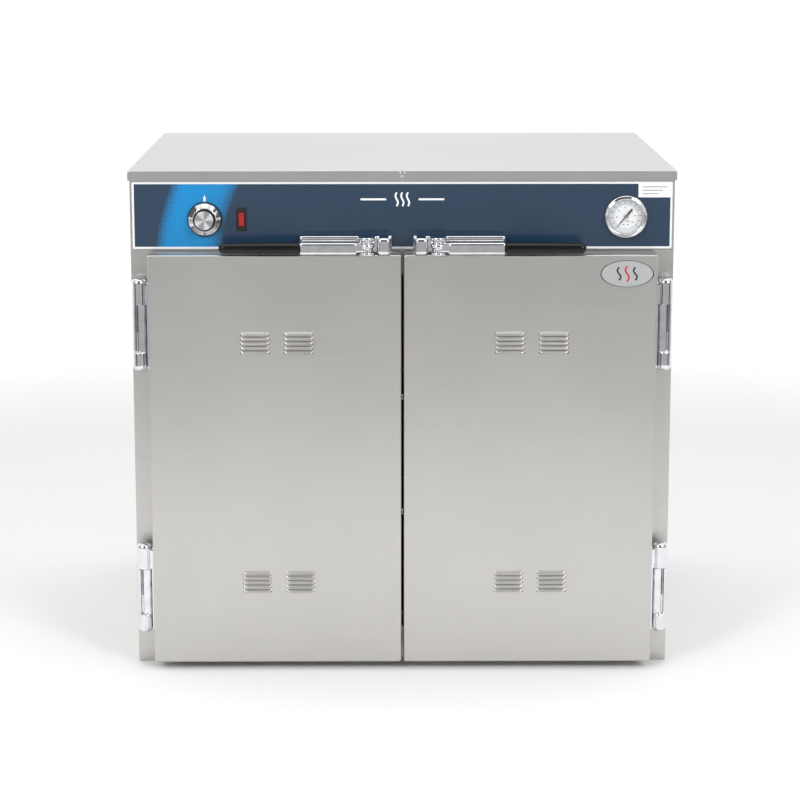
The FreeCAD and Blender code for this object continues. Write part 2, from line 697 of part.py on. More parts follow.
def thermometer_case():
    """Bezel in front of the panel and a cup behind it, with a hub bore for the needle."""
    top, seat = GAUGE_STAND, GAUGE_STAND - WINDOW_SINK
    profile = [(-CUP_L, 0), (-CUP_L, CUP_R - 2.0), (-CUP_L + 1.0, CUP_R), (0, CUP_R), (0, GAUGE_R),
               (seat, GAUGE_R), (top - 0.5, GAUGE_R - 1.0), (top, GAUGE_R - 2.5), (top, CUP_R),
               (seat, CUP_R), (seat, DIAL_R + FIT), (DIAL_SEAT, DIAL_R + FIT), (DIAL_SEAT, 0)]
    case = facing(profile, GAUGE_X, OVERLAY_FRONT, GAUGE_Z)
    return case.cut(along_y(STAFF_R + FIT, GAUGE_X, GAUGE_Z, OVERLAY_FRONT - DIAL_SEAT - OVER,
                            OVERLAY_FRONT + STAFF_SINK + SLIP))


def thermometer_dial():
    hole, front = STAFF_R + FIT, DIAL_SEAT + DIAL_T
    profile = [(DIAL_SEAT, hole), (DIAL_SEAT, DIAL_R), (front, DIAL_R), (front, hole)]
    return facing(profile, GAUGE_X, OVERLAY_FRONT, GAUGE_Z)


def thermometer_lens():
    seat = GAUGE_STAND - WINDOW_SINK
    profile = [(seat, 0), (seat, CUP_R - FIT), (seat + WINDOW_T, CUP_R - FIT), (seat + WINDOW_T, 0)]
    return facing(profile, GAUGE_X, OVERLAY_FRONT, GAUGE_Z)


def thermometer_needle():
    """Pointer with a thin tip and a broad tail, lying at its cold reading."""
    y1 = OVERLAY_FRONT - DIAL_SEAT - DIAL_T - NEEDLE_RISE
    y0 = y1 - NEEDLE_T
    outline = [(NEEDLE_TIP, -0.15), (NEEDLE_TIP, 0.15), (0, 0.75), (-2.0, 0.6), (-3.0, 1.1),
               (-NEEDLE_TAIL, 1.1), (-NEEDLE_TAIL, -1.1), (-3.0, -1.1), (-2.0, -0.6), (0, -0.75)]
    at = [V(GAUGE_X + a, y0, GAUGE_Z + b) for a, b in outline]
    pointer = Part.Face(Part.makePolygon(at + [at[0]])).extrude(V(0, y1 - y0, 0))
    hub = along_y(HUB_R, GAUGE_X, GAUGE_Z, y0 - NEEDLE_T / 2, y1)
    staff = along_y(STAFF_R, GAUGE_X, GAUGE_Z, y0, OVERLAY_FRONT + STAFF_SINK)
    needle = joined([pointer, hub, staff])
    needle.rotate(V(GAUGE_X, 0, GAUGE_Z), V(0, 1, 0), -NEEDLE_ANGLE)
    return needle


def sensor(side):
    """Capillary from a control down through the ceiling to a bulb in the cavity."""
    bulb_z = CAVITY_TOP - BULB_DROP
    starts = {-1: V(KNOB_X, FACE_BACK + THERMOSTAT_D, KNOB_Z - 12),
              1: V(GAUGE_X - 12, OVERLAY_FRONT + CUP_L, GAUGE_Z - 8)}
    start = starts[side]
    x = side * SENSOR_U
    bulb_y = SENSOR_Y + BULB_SETBACK
    points = [start, V(start.x, SENSOR_Y - 16, start.z), V(x, SENSOR_Y, start.z - 14),
              V(x, SENSOR_Y, bulb_z), V(x, bulb_y, bulb_z)]
    bulb = along_y(BULB_R, x, bulb_z, bulb_y, bulb_y + BULB_L)
    return joined([tube(points, CAPILLARY_R, CAPILLARY_BEND), bulb])


def sensor_clips():
    """Straps welded under the ceiling that hold the two bulbs."""
    clips = []
    for side in (-1, 1):
        for share in (0.2, 0.8):
            y = SENSOR_Y + BULB_SETBACK + share * BULB_L
            x, z = side * SENSOR_U, CAVITY_TOP - BULB_DROP
            y0, y1 = y - CLIP_W / 2, y + CLIP_W / 2
            ring = along_y(BULB_R + CLIP_T, x, z, y0, y1)
            stem = block(x - CLIP_STEM / 2, x + CLIP_STEM / 2, y0, y1, z, CAVITY_TOP + LINER_T / 2)
            bore = along_y(BULB_R + FIT, x, z, y0 - OVER, y1 + OVER)
            clips.append(joined([ring, stem]).cut(bore))
    return clips


def terminal_block():
    z = SEAM_Z + SHEET
    half_w, half_d = TERMINAL_W / 2, TERMINAL_D / 2
    body = block(-half_w, half_w, TERMINAL_Y - half_d, TERMINAL_Y + half_d, z, z + TERMINAL_H)
    channels = []
    for k in range(TERMINAL_WAYS):
        x = (k - (TERMINAL_WAYS - 1) / 2) * TERMINAL_PITCH
        channels.append(block(x - 4, x + 4, TERMINAL_Y - half_d - OVER, TERMINAL_Y + half_d + OVER,
                              z + TERMINAL_H - 7, z + TERMINAL_H + OVER))
    return less(body, channels)


def wiring():
    """Leads from the terminal block to the cable ends, the thermostat and the lamp."""
    z = SEAM_Z + SHEET + 8.0
    front, back = TERMINAL_Y - TERMINAL_D / 2, TERMINAL_Y + TERMINAL_D / 2
    left = -TERMINAL_W / 2
    (x1, y1), (x2, y2) = lead_places()
    rear = FACE_BACK + THERMOSTAT_D
    lamp_rear = FACE_BACK + LAMP_BODY_L
    runs = [
        [V(x1, y1, CABLE_END_Z), V(x1, y1, CABLE_END_Z + 20), V(x1 - 12, (y1 + front) / 2, z + 22),
         V(28, front - 25, z), V(28, front, z)],
        [V(x2, y2, CABLE_END_Z), V(x2, y2, CABLE_END_Z + 20), V(x2 + 10, (y2 + back) / 2, z + 18),
         V(-20, back + 30, z), V(-20, back, z)],
        [V(KNOB_X, rear, KNOB_Z), V(KNOB_X, rear + 30, KNOB_Z), V((KNOB_X + left) / 2, -120, z + 4),
         V(left - 27, TERMINAL_Y - 4, z), V(left, TERMINAL_Y - 4, z)],
        [V(LAMP_X, lamp_rear, KNOB_Z), V(LAMP_X, lamp_rear + 26, KNOB_Z),
         V(LAMP_X / 2 - 20, -130, z + 6), V(-12, front - 38, z), V(-12, front, z)],
    ]
    return Part.makeCompound([tube(points, LEAD_R, LEAD_BEND) for points in runs])


def gland_place():
    return HALF_W - GLAND_SIDE, OVERLAY_MID


def cord_gland():
    """Strain relief bush in the back panel, open for the supply cord."""
    x, z = gland_place()
    neck = GLAND_NECK_R - FIT
    profile = [(-GLAND_FRONT_L, GLAND_BORE_R), (-GLAND_FRONT_L, GLAND_R), (-SHEET, GLAND_R),
               (-SHEET, neck), (0, neck), (0, GLAND_R), (5.0, GLAND_R),
               (GLAND_REAR_L, GLAND_BORE_R + 2.2), (GLAND_REAR_L, GLAND_BORE_R)]
    return turned(profile, V(x, REAR, z), V(0, 1, 0), V(1, 0, 0))


# ------------------------------------------------------------------ hinges
def frame_hinges(side):
    """Two housings on the face frame that carry the pins."""
    housings = []
    x = side * HINGE_U
    for bottom in HINGE_BOTTOMS:
        top = bottom + HINGE_LOWER_H
        body = joined([along_z(KNUCKLE_R, x, HINGE_Y, bottom, top),
                       block(x - KNUCKLE_R, x + KNUCKLE_R, HINGE_Y, FRONT, bottom, top)])
        rim = edges_where(body, lambda p: near(p.z, bottom) and p.y < FRONT - OVER)
        body = body.makeFillet(HOUSING_FILLET, rim)
        cuts = [along_z(PIN_R + FIT, x, HINGE_Y, top - PIN_SINK, top + OVER)]
        cuts += [along_y(SCREW_R + FIT, x, bottom + up, FRONT - FRAME_SCREW_L - SLIP, FRONT + OVER)
                 for up in FRAME_SCREWS_UP]
        housings.append(less(body, cuts))
    return housings


def hinge_pins():
    pins = []
    for side in (-1, 1):
        for bottom in HINGE_BOTTOMS:
            split = bottom + HINGE_LOWER_H
            pins.append(along_z(PIN_R, side * HINGE_U, HINGE_Y, split - PIN_SINK, split + PIN_RISE))
    return Part.makeCompound(pins)


def hinge_frame_screws():
    """Screws from behind the face frame into the hinge housings."""
    screws = []
    for x, z in frame_screw_places():
        shank = along_y(SCREW_R, x, z, FRONT - FRAME_SCREW_L, RETURN_BACK)
        head = along_y(SCREW_HEAD_R, x, z, RETURN_BACK, RETURN_BACK + SCREW_HEAD_H)
        screws.append(joined([shank, head]))
    return screws


def leaf_screw_places():
    return [bottom + up for bottom in HINGE_BOTTOMS for up in LEAF_SCREWS_UP]


def leaf_screw_cut(side):
    """Holes for the leaf screws, with room for their sunk heads."""
    y = HINGE_Y - LEAF_SCREW_FRONT
    out = DOOR_OUT + LEAF_T
    cuts = []
    for z in leaf_screw_places():
        start = V(side * (out + OVER), y, z)
        cuts.append(rod(SCREW_R + FIT, start, V(side * (DOOR_OUT - LEAF_SCREW_L), y, z)))
        cuts.append(rod(SCREW_HEAD_R + FIT, start, V(side * (out - LEAF_SCREW_SINK), y, z)))
    return cuts


def door_hinges(side):
    """Two leaves on the door's edge, each with a domed knuckle that turns on a pin."""
    leaves = []
    x = side * HINGE_U
    for bottom in HINGE_BOTTOMS:
        split, top = bottom + HINGE_LOWER_H + SLIP, bottom + HINGE_H
        knuckle = along_z(KNUCKLE_R, x, HINGE_Y, split, top)
        knuckle = knuckle.makeFillet(KNUCKLE_DOME, edges_where(knuckle, lambda p: near(p.z, top)))
        web = block(x, side * DOOR_OUT, HINGE_Y - 6, HINGE_Y + 6, split, top - 8)
        plate = block(side * DOOR_OUT, side * (DOOR_OUT + LEAF_T), HINGE_Y - LEAF_D / 2,
                      HINGE_Y + LEAF_D / 2, bottom + 4, top - 4)
        plate = plate.makeFillet(3.0, long_edges(plate, V(1, 0, 0)))
        bore = along_z(PIN_R + FIT, x, HINGE_Y, split - OVER, split + PIN_RISE + SLIP)
        leaves.append(less(joined([knuckle, web, plate]), [bore] + leaf_screw_cut(side)))
    return Part.makeCompound(leaves)


# ------------------------------------------------------------------ doors
def vent_places(side):
    return [(side * VENT_U[side], z) for z in VENT_ZS]


def louvre_hood(x, z):
    """Pressed hood of one louvre: it slopes out from the sheet and opens downwards."""
    def wedge(half_w, stand, top, bottom, back):
        side_view = [V(x - half_w, back, top), V(x - half_w, DOOR_FRONT - stand, bottom + 0.8),
                     V(x - half_w, DOOR_FRONT - stand, bottom), V(x - half_w, back, bottom)]
        return Part.Face(Part.makePolygon(side_view + [side_view[0]])).extrude(V(2 * half_w, 0, 0))
    half, up = LOUVRE_W / 2, LOUVRE_H / 2
    outer = wedge(half, LOUVRE_STAND, z + up, z - up, DOOR_FRONT)
    inner = wedge(half - LOUVRE_T, LOUVRE_STAND - LOUVRE_T, z + up - 1.6, z - up - 0.5,
                  DOOR_FRONT + SHEET + OVER)
    return outer, inner


def door_skin(side):
    """Outer pan of the door: front sheet, four flanges and pressed louvres."""
    outer = block(side * DOOR_IN, side * DOOR_OUT, DOOR_FRONT, DOOR_BACK, DOOR_LIFT, DOOR_TOP)
    outer = outer.makeFillet(BEND_R, edges_where(outer, lambda p: near(p.y, DOOR_FRONT)))
    inner = block(side * (DOOR_IN + SHEET), side * (DOOR_OUT - SHEET), DOOR_FRONT + SHEET,
                  DOOR_BACK + OVER, DOOR_LIFT + SHEET, DOOR_TOP - SHEET)
    hoods, mouths = [], []
    for vent_x, vent_z in vent_places(side):
        for block_side in (-1, 1):
            for k in range(LOUVRE_COUNT):
                z = vent_z + (k - (LOUVRE_COUNT - 1) / 2) * LOUVRE_PITCH
                hood, mouth = louvre_hood(vent_x + block_side * BLOCK_OFFSET, z)
                hoods.append(hood)
                mouths.append(mouth)
    skin = outer.cut(inner).multiFuse(hoods)
    return less(skin, mouths + leaf_screw_cut(side) + latch_screw_cuts(side))


def ports(x, z, y0, y1):
    """Upright slots of a vent that its slide opens and closes."""
    cuts = []
    for k in range(PORT_COUNT):
        at = x + (k - (PORT_COUNT - 1) / 2) * PORT_PITCH
        cuts.append(block(at - PORT_W / 2, at + PORT_W / 2, y0, y1, z - PORT_H / 2, z + PORT_H / 2))
    return cuts


def door_inner(side):
    """Inner pan of the door, nested in the skin's flanges, with its vent sleeves and tracks."""
    u0, u1 = side * (DOOR_IN + SHEET), side * (DOOR_OUT - SHEET)
    z0, z1 = DOOR_LIFT + SHEET, DOOR_TOP - SHEET
    outer = block(u0, u1, DOOR_BACK - INNER_T - INNER_LIP, DOOR_BACK, z0, z1)
    inner = block(u0 + side * INNER_T, u1 - side * INNER_T, DOOR_BACK - INNER_T - INNER_LIP - OVER,
                  DOOR_BACK - INNER_T, z0 + INNER_T, z1 - INNER_T)
    cuts = [inner]
    for x, z in vent_places(side):
        cuts += ports(x, z, DOOR_BACK - INNER_T - OVER, DOOR_BACK + OVER)
    pan = joined([less(outer, cuts)] + vent_ducts(side) + vent_tracks(side))
    return less(pan, latch_screw_cuts(side))


def door_insulation(side):
    gap = SHEET + DOOR_AIR
    core = block(side * (DOOR_IN + gap), side * (DOOR_OUT - gap), DOOR_FRONT + SHEET + SLIP,
                 DOOR_BACK - INNER_T - SLIP, DOOR_LIFT + gap, DOOR_TOP - gap)
    half_w, half_h = DUCT_W / 2 + SLIP, DUCT_H / 2 + SLIP
    return less(core, [block(x - half_w, x + half_w, DOOR_FRONT, DOOR_BACK, z - half_h, z + half_h)
                       for x, z in vent_places(side)])


def vent_ducts(side):
    """Sheet sleeves through the insulation, one behind each pair of louvre blocks."""
    sleeves = []
    for x, z in vent_places(side):
        half_w, half_h = DUCT_W / 2, DUCT_H / 2
        outer = block(x - half_w, x + half_w, DOOR_FRONT + SHEET, DOOR_BACK - INNER_T / 2,
                      z - half_h, z + half_h)
        inner = block(x - half_w + DUCT_T, x + half_w - DUCT_T, DOOR_FRONT, DOOR_BACK,
                      z - half_h + DUCT_T, z + half_h - DUCT_T)
        sleeves.append(outer.cut(inner))
    return sleeves


def vent_slide(side, index):
    """Slotted plate that shuts a vent when it is pushed sideways by its tab."""
    x, z = vent_places(side)[index]
    y0 = DOOR_BACK + SLIP
    plate = block(x - SLIDE_W / 2, x + SLIDE_W / 2, y0, y0 + SLIDE_T, z - SLIDE_H / 2, z + SLIDE_H / 2)
    end = x - SLIDE_W / 2 + TAB_INSET
    half = TAB_H / 2
    tab = block(end - TAB_T, end, y0, y0 + TAB_STAND, z - half, z + half)
    return less(joined([plate, tab]), ports(x, z, DOOR_BACK, y0 + TAB_STAND))


def vent_tracks(side):
    """Folded strips above and below each slide."""
    strips = []
    y_lip = DOOR_BACK + 2 * SLIP + SLIDE_T
    for x, z in vent_places(side):
        for way in (-1, 1):
            edge = z + way * (SLIDE_H / 2 + SLIP)
            foot = block(x - TRACK_W / 2, x + TRACK_W / 2, DOOR_BACK - INNER_T / 2,
                         y_lip + SLIDE_T, edge, edge + way * TRACK_FOOT)
            lip = block(x - TRACK_W / 2, x + TRACK_W / 2, y_lip, y_lip + SLIDE_T,
                        edge - way * TRACK_LIP, edge + way)
            strips.append(joined([foot, lip]))
    return strips


def door_gasket(side):
    """Soft seal round the back of the door, bearing on the face frame."""
    out = CAVITY_U + GASKET_LAND + GASKET_W
    low = CAVITY_FLOOR - GASKET_LAND - GASKET_W
    high = CAVITY_TOP + GASKET_LAND + GASKET_W
    face = FRONT - SLIP
    inset = DOOR_IN + GASKET_SEAM
    ring = block(side * inset, side * out, DOOR_BACK, face, low, high)
    hollow = block(side * (inset + GASKET_W), side * (out - GASKET_W), DOOR_BACK - OVER, face + OVER,
                   low + GASKET_W, high - GASKET_W)
    ring = ring.cut(hollow)
    return ring.makeFillet(GASKET_R, edges_where(ring, lambda p: near(p.y, face)))


def leaf_screws(side):
    screws = []
    y = HINGE_Y - LEAF_SCREW_FRONT
    out = DOOR_OUT + LEAF_T
    for z in leaf_screw_places():
        head = rod(SCREW_HEAD_R, V(side * out, y, z), V(side * (out - LEAF_SCREW_SINK), y, z))
        shank = rod(SCREW_R, V(side * out, y, z), V(side * (DOOR_OUT - LEAF_SCREW_L + SLIP), y, z))
        screws.append(joined([head, shank]))
    return screws


def door_badge():
    """Oval badge near the top outer corner of the right door."""
    x, z = DOOR_OUT - BADGE_SIDE, DOOR_TOP - BADGE_DROP
    oval = Part.Ellipse(V(x, DOOR_FRONT, z), BADGE_W / 2, BADGE_H / 2)
    face = Part.Face(Part.Wire(oval.toShape()))
    face.rotate(V(x, DOOR_FRONT, z), V(1, 0, 0), 90)
    return face.extrude(V(0, -BADGE_T, 0))


# ------------------------------------------------------------------ latches
def latch_screw_places():
    return [(u, LATCH_BACK - LATCH_SCREW_BACK) for u in LATCH_SCREWS_U]


def latch_screw_cuts(side):
    cuts = []
    for u, y in latch_screw_places():
        top = DOOR_TOP + LATCH_H + OVER
        cuts.append(along_z(SCREW_R + FIT, side * u, y, DOOR_TOP - LATCH_SCREW_L - SLIP, top))
        cuts.append(along_z(SCREW_HEAD_R + FIT, side * u, y, DOOR_TOP + LATCH_FLOOR, top))
    return cuts


def latch_base(side):
    """Cast base on the door's top edge, with two ears for the lever's pin."""
    z0, z1 = DOOR_TOP, DOOR_TOP + LATCH_H
    front = LATCH_BACK - LATCH_BODY_D
    body = block(side * LATCH_IN_U, side * LATCH_OUT_U, front, LATCH_BACK, z0, z1)
    body = body.makeFillet(3.0, edges_where(body, lambda p: near(p.z, z1)))
    end = block(side * LATCH_IN_U, side * (LATCH_IN_U + LATCH_END_W), LATCH_Y - 7, LATCH_BACK,
                z0, z1 + LATCH_END_RISE)
    top_edges = edges_where(end, lambda p: near(p.z, z1 + LATCH_END_RISE))
    end = end.makeFillet(3.5, long_edges(end, V(0, 0, 1)) + top_edges)
    shapes = [body, end]
    for low, high in ((z0, z0 + EAR_T), (z1 - EAR_T, z1)):
        shapes.append(along_z(EAR_R, side * LATCH_PIN_U, LATCH_Y, low, high))
        shapes.append(block(side * (LATCH_PIN_U - EAR_R), side * (LATCH_PIN_U + EAR_R), LATCH_Y,
                            front + 4, low, high))
    pin_bore = along_z(LATCH_PIN_R + FIT, side * LATCH_PIN_U, LATCH_Y, z0 - OVER, z1 + OVER)
    return less(joined(shapes), [pin_bore, magnet_block(side, FIT)] + latch_screw_cuts(side))


def magnet_block(side, grow):
    half = MAGNET_W / 2 + grow
    return block(side * (MAGNET_U - half), side * (MAGNET_U + half),
                 LATCH_BACK - MAGNET_D - grow, LATCH_BACK + SLIP,
                 DOOR_TOP + MAGNET_RISE - grow, DOOR_TOP + MAGNET_RISE + MAGNET_H + grow)


def latch_magnet(side):
    return magnet_block(side, 0.0)


def latch_pin(side):
    x = side * LATCH_PIN_U
    top = DOOR_TOP + LATCH_H
    return joined([along_z(LATCH_PIN_R, x, LATCH_Y, DOOR_TOP + TINY, top + LATCH_PIN_HEAD_H),
                   along_z(LATCH_PIN_HEAD_R, x, LATCH_Y, top, top + LATCH_PIN_HEAD_H)])


def latch_screws(side):
    screws = []
    for u, y in latch_screw_places():
        under = DOOR_TOP + LATCH_FLOOR
        shank = along_z(SCREW_R, side * u, y, DOOR_TOP - LATCH_SCREW_L, under + SCREW_HEAD_H)
        head = along_z(SCREW_HEAD_R, side * u, y, under, under + SCREW_HEAD_H)
        screws.append(joined([shank, head]))
    return screws


def latch_lever(side):
    """Lever with a boss on the pin and a spigot that carries the grip."""
    x = side * LATCH_PIN_U
    low, high = DOOR_TOP + EAR_T + SLIP, DOOR_TOP + LATCH_H - EAR_T - SLIP
    bar_low, bar_high = LEVER_Z - LEVER_H / 2, LEVER_Z + LEVER_H / 2
    bar_start = LATCH_PIN_U + EAR_R + 3.0
    front, back = LEVER_Y - LEVER_D / 2, LEVER_Y + LEVER_D / 2
    boss = along_z(EAR_R - TINY, x, LATCH_Y, low, high)
    neck = block(x, side * (bar_start + 4), front + 1, back - 1, low, bar_high - 1)
    bar = block(side * bar_start, side * LATCH_OUT_U, front, back, bar_low, bar_high)
    bar = bar.makeFillet(3.0, long_edges(bar, V(1, 0, 0)))
    spigot = rod(SPIGOT_R, V(side * (LATCH_OUT_U - 5), LEVER_Y, LEVER_Z),
                 V(side * (LATCH_OUT_U + GRIP_L - SPIGOT_SHORT), LEVER_Y, LEVER_Z))
    bore = along_z(LATCH_PIN_R + FIT, x, LATCH_Y, low - OVER, high + OVER)
    return joined([boss, neck, bar, spigot]).cut(bore)


def latch_grip(side):
    """Moulded grip that tapers to a rounded tip."""
    straight = GRIP_L - GRIP_TIP_R
    bore_end = GRIP_L - SPIGOT_SHORT + SLIP
    tip = [(straight + GRIP_TIP_R * math.sin(math.radians(a)),
            GRIP_TIP_R * math.cos(math.radians(a))) for a in (15, 30, 45, 60, 75)]
    profile = [(0, SPIGOT_R + FIT), (0, GRIP_R - 0.6), (0.6, GRIP_R), (straight * 0.5, GRIP_R),
               (straight, GRIP_TIP_R)] + tip + [(GRIP_L, 0), (bore_end, 0),
                                               (bore_end, SPIGOT_R + FIT)]
    return turned(profile, V(side * LATCH_OUT_U, LEVER_Y, LEVER_Z), V(side, 0, 0), V(0, 0, 1))


def latch_strikes():
    """Steel plates on the panel that the magnets hold on to."""
    half = MAGNET_W / 2 + STRIKE_RIM
    return Part.makeCompound([block(side * (MAGNET_U - half), side * (MAGNET_U + half),
                                    OVERLAY_FRONT - STRIKE_T, OVERLAY_FRONT,
                                    OVERLAY_BOTTOM + TINY, DOOR_TOP + LATCH_H - 2)
                              for side in (-1, 1)])


# ------------------------------------------------------------------ loose fasteners of the shell
def back_screws():
    screws = []
    for x, z in back_screw_places():
        shank = along_y(SCREW_R, x, z, REAR - BACK_SCREW_L, REAR + 1)
        head = along_y(SCREW_HEAD_R, x, z, REAR, REAR + SCREW_HEAD_H)
        screws.append(joined([shank, head]))
    return screws


def cover_screw():
    front = FRONT - COVER_FRONT
    z = cover_screw_z()
    r = COVER_SCREW_HEAD_R
    head = turned([(0, 0), (0, r), (0.7, r), (1.6, r * 0.72), (2.1, r * 0.35), (2.1, 0)],
                  V(0, front, z), V(0, -1, 0), V(1, 0, 0))
    return joined([head, along_y(SCREW_R, 0, z, front - 0.5, FACE_BACK + OVER)])


# ------------------------------------------------------------------ every piece, by name
def group(shapes):
    """Separate solids that share one name."""
    return Part.makeCompound(shapes)


def pieces():
    made = {
        "back_panel": back_panel(), "bottom_pan": bottom_pan(), "top_cover": top_cover(),
        "face_frame": face_frame(), "control_panel": control_panel(),
        "control_overlay": control_overlay(), "compartment_floor": compartment_floor(),
        "inner_liner": inner_liner(), "insulation": insulation(), "heating_cable": heating_cable(),
        "side_racks": group([side_rack(-1), side_rack(1)]), "shelves": group([shelf(0), shelf(1)]),
        "drip_tray": drip_tray(), "thermostat": thermostat(), "knob_shaft": knob_shaft(),
        "knob": knob(), "knob_trim": group([knob_ring(), knob_cap()]),
        "indicator_lamp": indicator_lamp(), "lamp_lens": lamp_lens(),
        "thermometer_case": thermometer_case(), "thermometer_dial": thermometer_dial(),
        "thermometer_lens": thermometer_lens(), "thermometer_needle": thermometer_needle(),
        "sensors": group([sensor(-1), sensor(1)]), "terminal_block": terminal_block(),
        "wiring": wiring(), "cord_gland": cord_gland(), "hinge_pins": hinge_pins(),
        "frame_hinges": group(frame_hinges(-1) + frame_hinges(1)),
        "latch_strikes": latch_strikes(), "badge": door_badge(),
        "body_screws": group(hinge_frame_screws() + back_screws() + [cover_screw()]),
    }
    for side, name in ((-1, "left"), (1, "right")):
        made[f"{name}_side_panel"] = side_panel(side)
        made[f"{name}_door_skin"] = door_skin(side)
        made[f"{name}_door_inner"] = door_inner(side)
        made[f"{name}_door_insulation"] = door_insulation(side)
        made[f"{name}_door_gasket"] = door_gasket(side)
        made[f"{name}_door_hinges"] = door_hinges(side)
        made[f"{name}_upper_slide"] = vent_slide(side, 1)
        made[f"{name}_lower_slide"] = vent_slide(side, 0)
        made[f"{name}_latch_base"] = latch_base(side)
        made[f"{name}_latch_lever"] = latch_lever(side)
        made[f"{name}_latch_grip"] = latch_grip(side)
        made[f"{name}_latch_pin"] = latch_pin(side)
        made[f"{name}_latch_magnet"] = latch_magnet(side)
        made[f"{name}_door_screws"] = group(leaf_screws(side) + latch_screws(side))
    return made


def main():
    os.makedirs("parts", exist_ok=True)
    for name, shape in pieces().items():
        shape.exportStep(f"parts/{name}.step")
        print(f"{name}: {len(shape.Solids)} solid(s), {shape.Volume / 1000:.1f} cm3, "
              f"valid {shape.isValid()}")


main()
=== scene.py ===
"""Looks of the food holding cabinet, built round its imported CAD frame.

Lengths are metres in the frame's own axes: X to the right, Y to the back, Z up.
The CAD pieces whose shapes are right stay and get a material. The ones that show
most are built again in detail: door skins, latches, hinge housings, knob, bezel and
lamp. Printed marks lie on the dial, the knob, the control overlay and the badge.
"""
import math
import bmesh
import bpy
from mathutils import Matrix, Vector


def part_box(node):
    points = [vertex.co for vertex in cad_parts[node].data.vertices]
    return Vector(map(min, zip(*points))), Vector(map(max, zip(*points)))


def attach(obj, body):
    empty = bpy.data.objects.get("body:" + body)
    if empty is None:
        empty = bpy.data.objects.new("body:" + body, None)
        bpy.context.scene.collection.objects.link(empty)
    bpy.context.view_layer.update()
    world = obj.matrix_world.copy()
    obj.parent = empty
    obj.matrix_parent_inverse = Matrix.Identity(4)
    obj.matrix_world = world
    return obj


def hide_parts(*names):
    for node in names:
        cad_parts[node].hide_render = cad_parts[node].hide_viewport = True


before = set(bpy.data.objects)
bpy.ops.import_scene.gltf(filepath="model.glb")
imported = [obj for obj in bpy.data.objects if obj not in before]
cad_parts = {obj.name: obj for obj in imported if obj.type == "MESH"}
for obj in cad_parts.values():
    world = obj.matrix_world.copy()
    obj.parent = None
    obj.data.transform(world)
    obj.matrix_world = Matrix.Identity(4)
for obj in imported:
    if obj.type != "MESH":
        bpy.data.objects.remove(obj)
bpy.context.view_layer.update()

MM = 0.001
FLAT = 1e-6                      # points nearer than this lie in one plane
SIDES = {"left": -1, "right": 1}
FORWARD, UP = Vector((0, -1, 0)), Vector((0, 0, 1))

# sizes that the frame doesn't give
SHEET = 1.2 * MM
BEND_R = 2.4 * MM                # outside radius of the door's bends
LOUVRE_STAND = 2.6 * MM
LOUVRE_W = 36.2 * MM
LOUVRE_H = 4.4 * MM
LOUVRE_PITCH = 5.8 * MM
LOUVRE_COUNT = 5
LOUVRE_SQUARENESS = 9            # the larger, the shorter the rounded ends
LOUVRE_CREST = 1.1               # how the hood rises towards its lip
BLOCK_OFFSET = 27.1 * MM         # vent's middle to the middle of a louvre block
PRINT_T = 0.12 * MM              # printed marks stand this far off their face
BORDER_W = 2.6 * MM              # white edge of the control overlay
# circles of the blue crescent: centre from the left edge and below the middle, radius, soft edges
CRESCENT_OUTER = (364.8 * MM, 85.0 * MM, 340.0 * MM, 20.0 * MM, 6.0 * MM)
CRESCENT_INNER = (332.4 * MM, 62.0 * MM, 235.0 * MM, 20.0 * MM, 12.0 * MM)
DOT_PITCH = 3.2 * MM
KNOB_RING_T = 7.2 * MM
KNOB_CORE_R = 13.0 * MM
KNOB_CAP_R = 11.6 * MM
KNOB_TEETH = 60
KNURL_DEPTH = 0.35 * MM
KNOB_MARKS = 11
KNOB_SWEEP = 300.0               # degrees from the first figure to the last
KNOB_FIGURE_H = 3.6 * MM
POINTER_W = 3.0 * MM             # white mark over the knob, with a narrow tip
POINTER_TIP_W = 0.8 * MM
EAR_R = 10.0 * MM                # ears and boss round the lever's pin
EAR_T = 3.3 * MM
HOUSING_R = 9.5 * MM             # hinge housings on the face frame
HOUSING_H = 83.5 * MM
HOUSING_FOOT = 24.0 * MM
FOOT_R = 7.0 * MM                # bowl of the round foot
FOOT_RIM_R = 1.0 * MM
# a post's side seen from above, in housing radii from its axis: None reaches back to the frame
POST_SIDE = ((-0.99, None), (-0.99, 0.0), (-0.91, -0.42), (-0.68, -0.72), (0.16, -0.72), (0.16, -0.15),
             (0.50, -0.15), (0.50, -0.82), (0.78, -0.59), (0.99, -0.10), (0.99, None))
LATCH_H = 21.8 * MM
LATCH_BODY_D = 23.0 * MM
LATCH_END_W = 16.0 * MM
LEVER_D = 11.0 * MM
LEVER_H = 13.2 * MM
EDGE_R = 1.2 * MM                # rounded edges of the ears and the grip's shoulder
GRIP_SLEEVE_T = 0.7 * MM
GRIP_STRAIGHT = 0.3              # share of the grip before it tapers
GRIP_TAPER = 0.9                 # tip radius beside the grip's own
DIAL_BAND_R = 15.4 * MM          # inner edge of the dial's outer scale
DIAL_CUP_R = 22.5 * MM
DIAL_SWEEP = 270.0
DIAL_START = 230.0
DIAL_FIGURES = 12                # steps between the outer scale's figures
OUTER_FIGURE_H = 2.4 * MM
INNER_FIGURE_H = 2.6 * MM
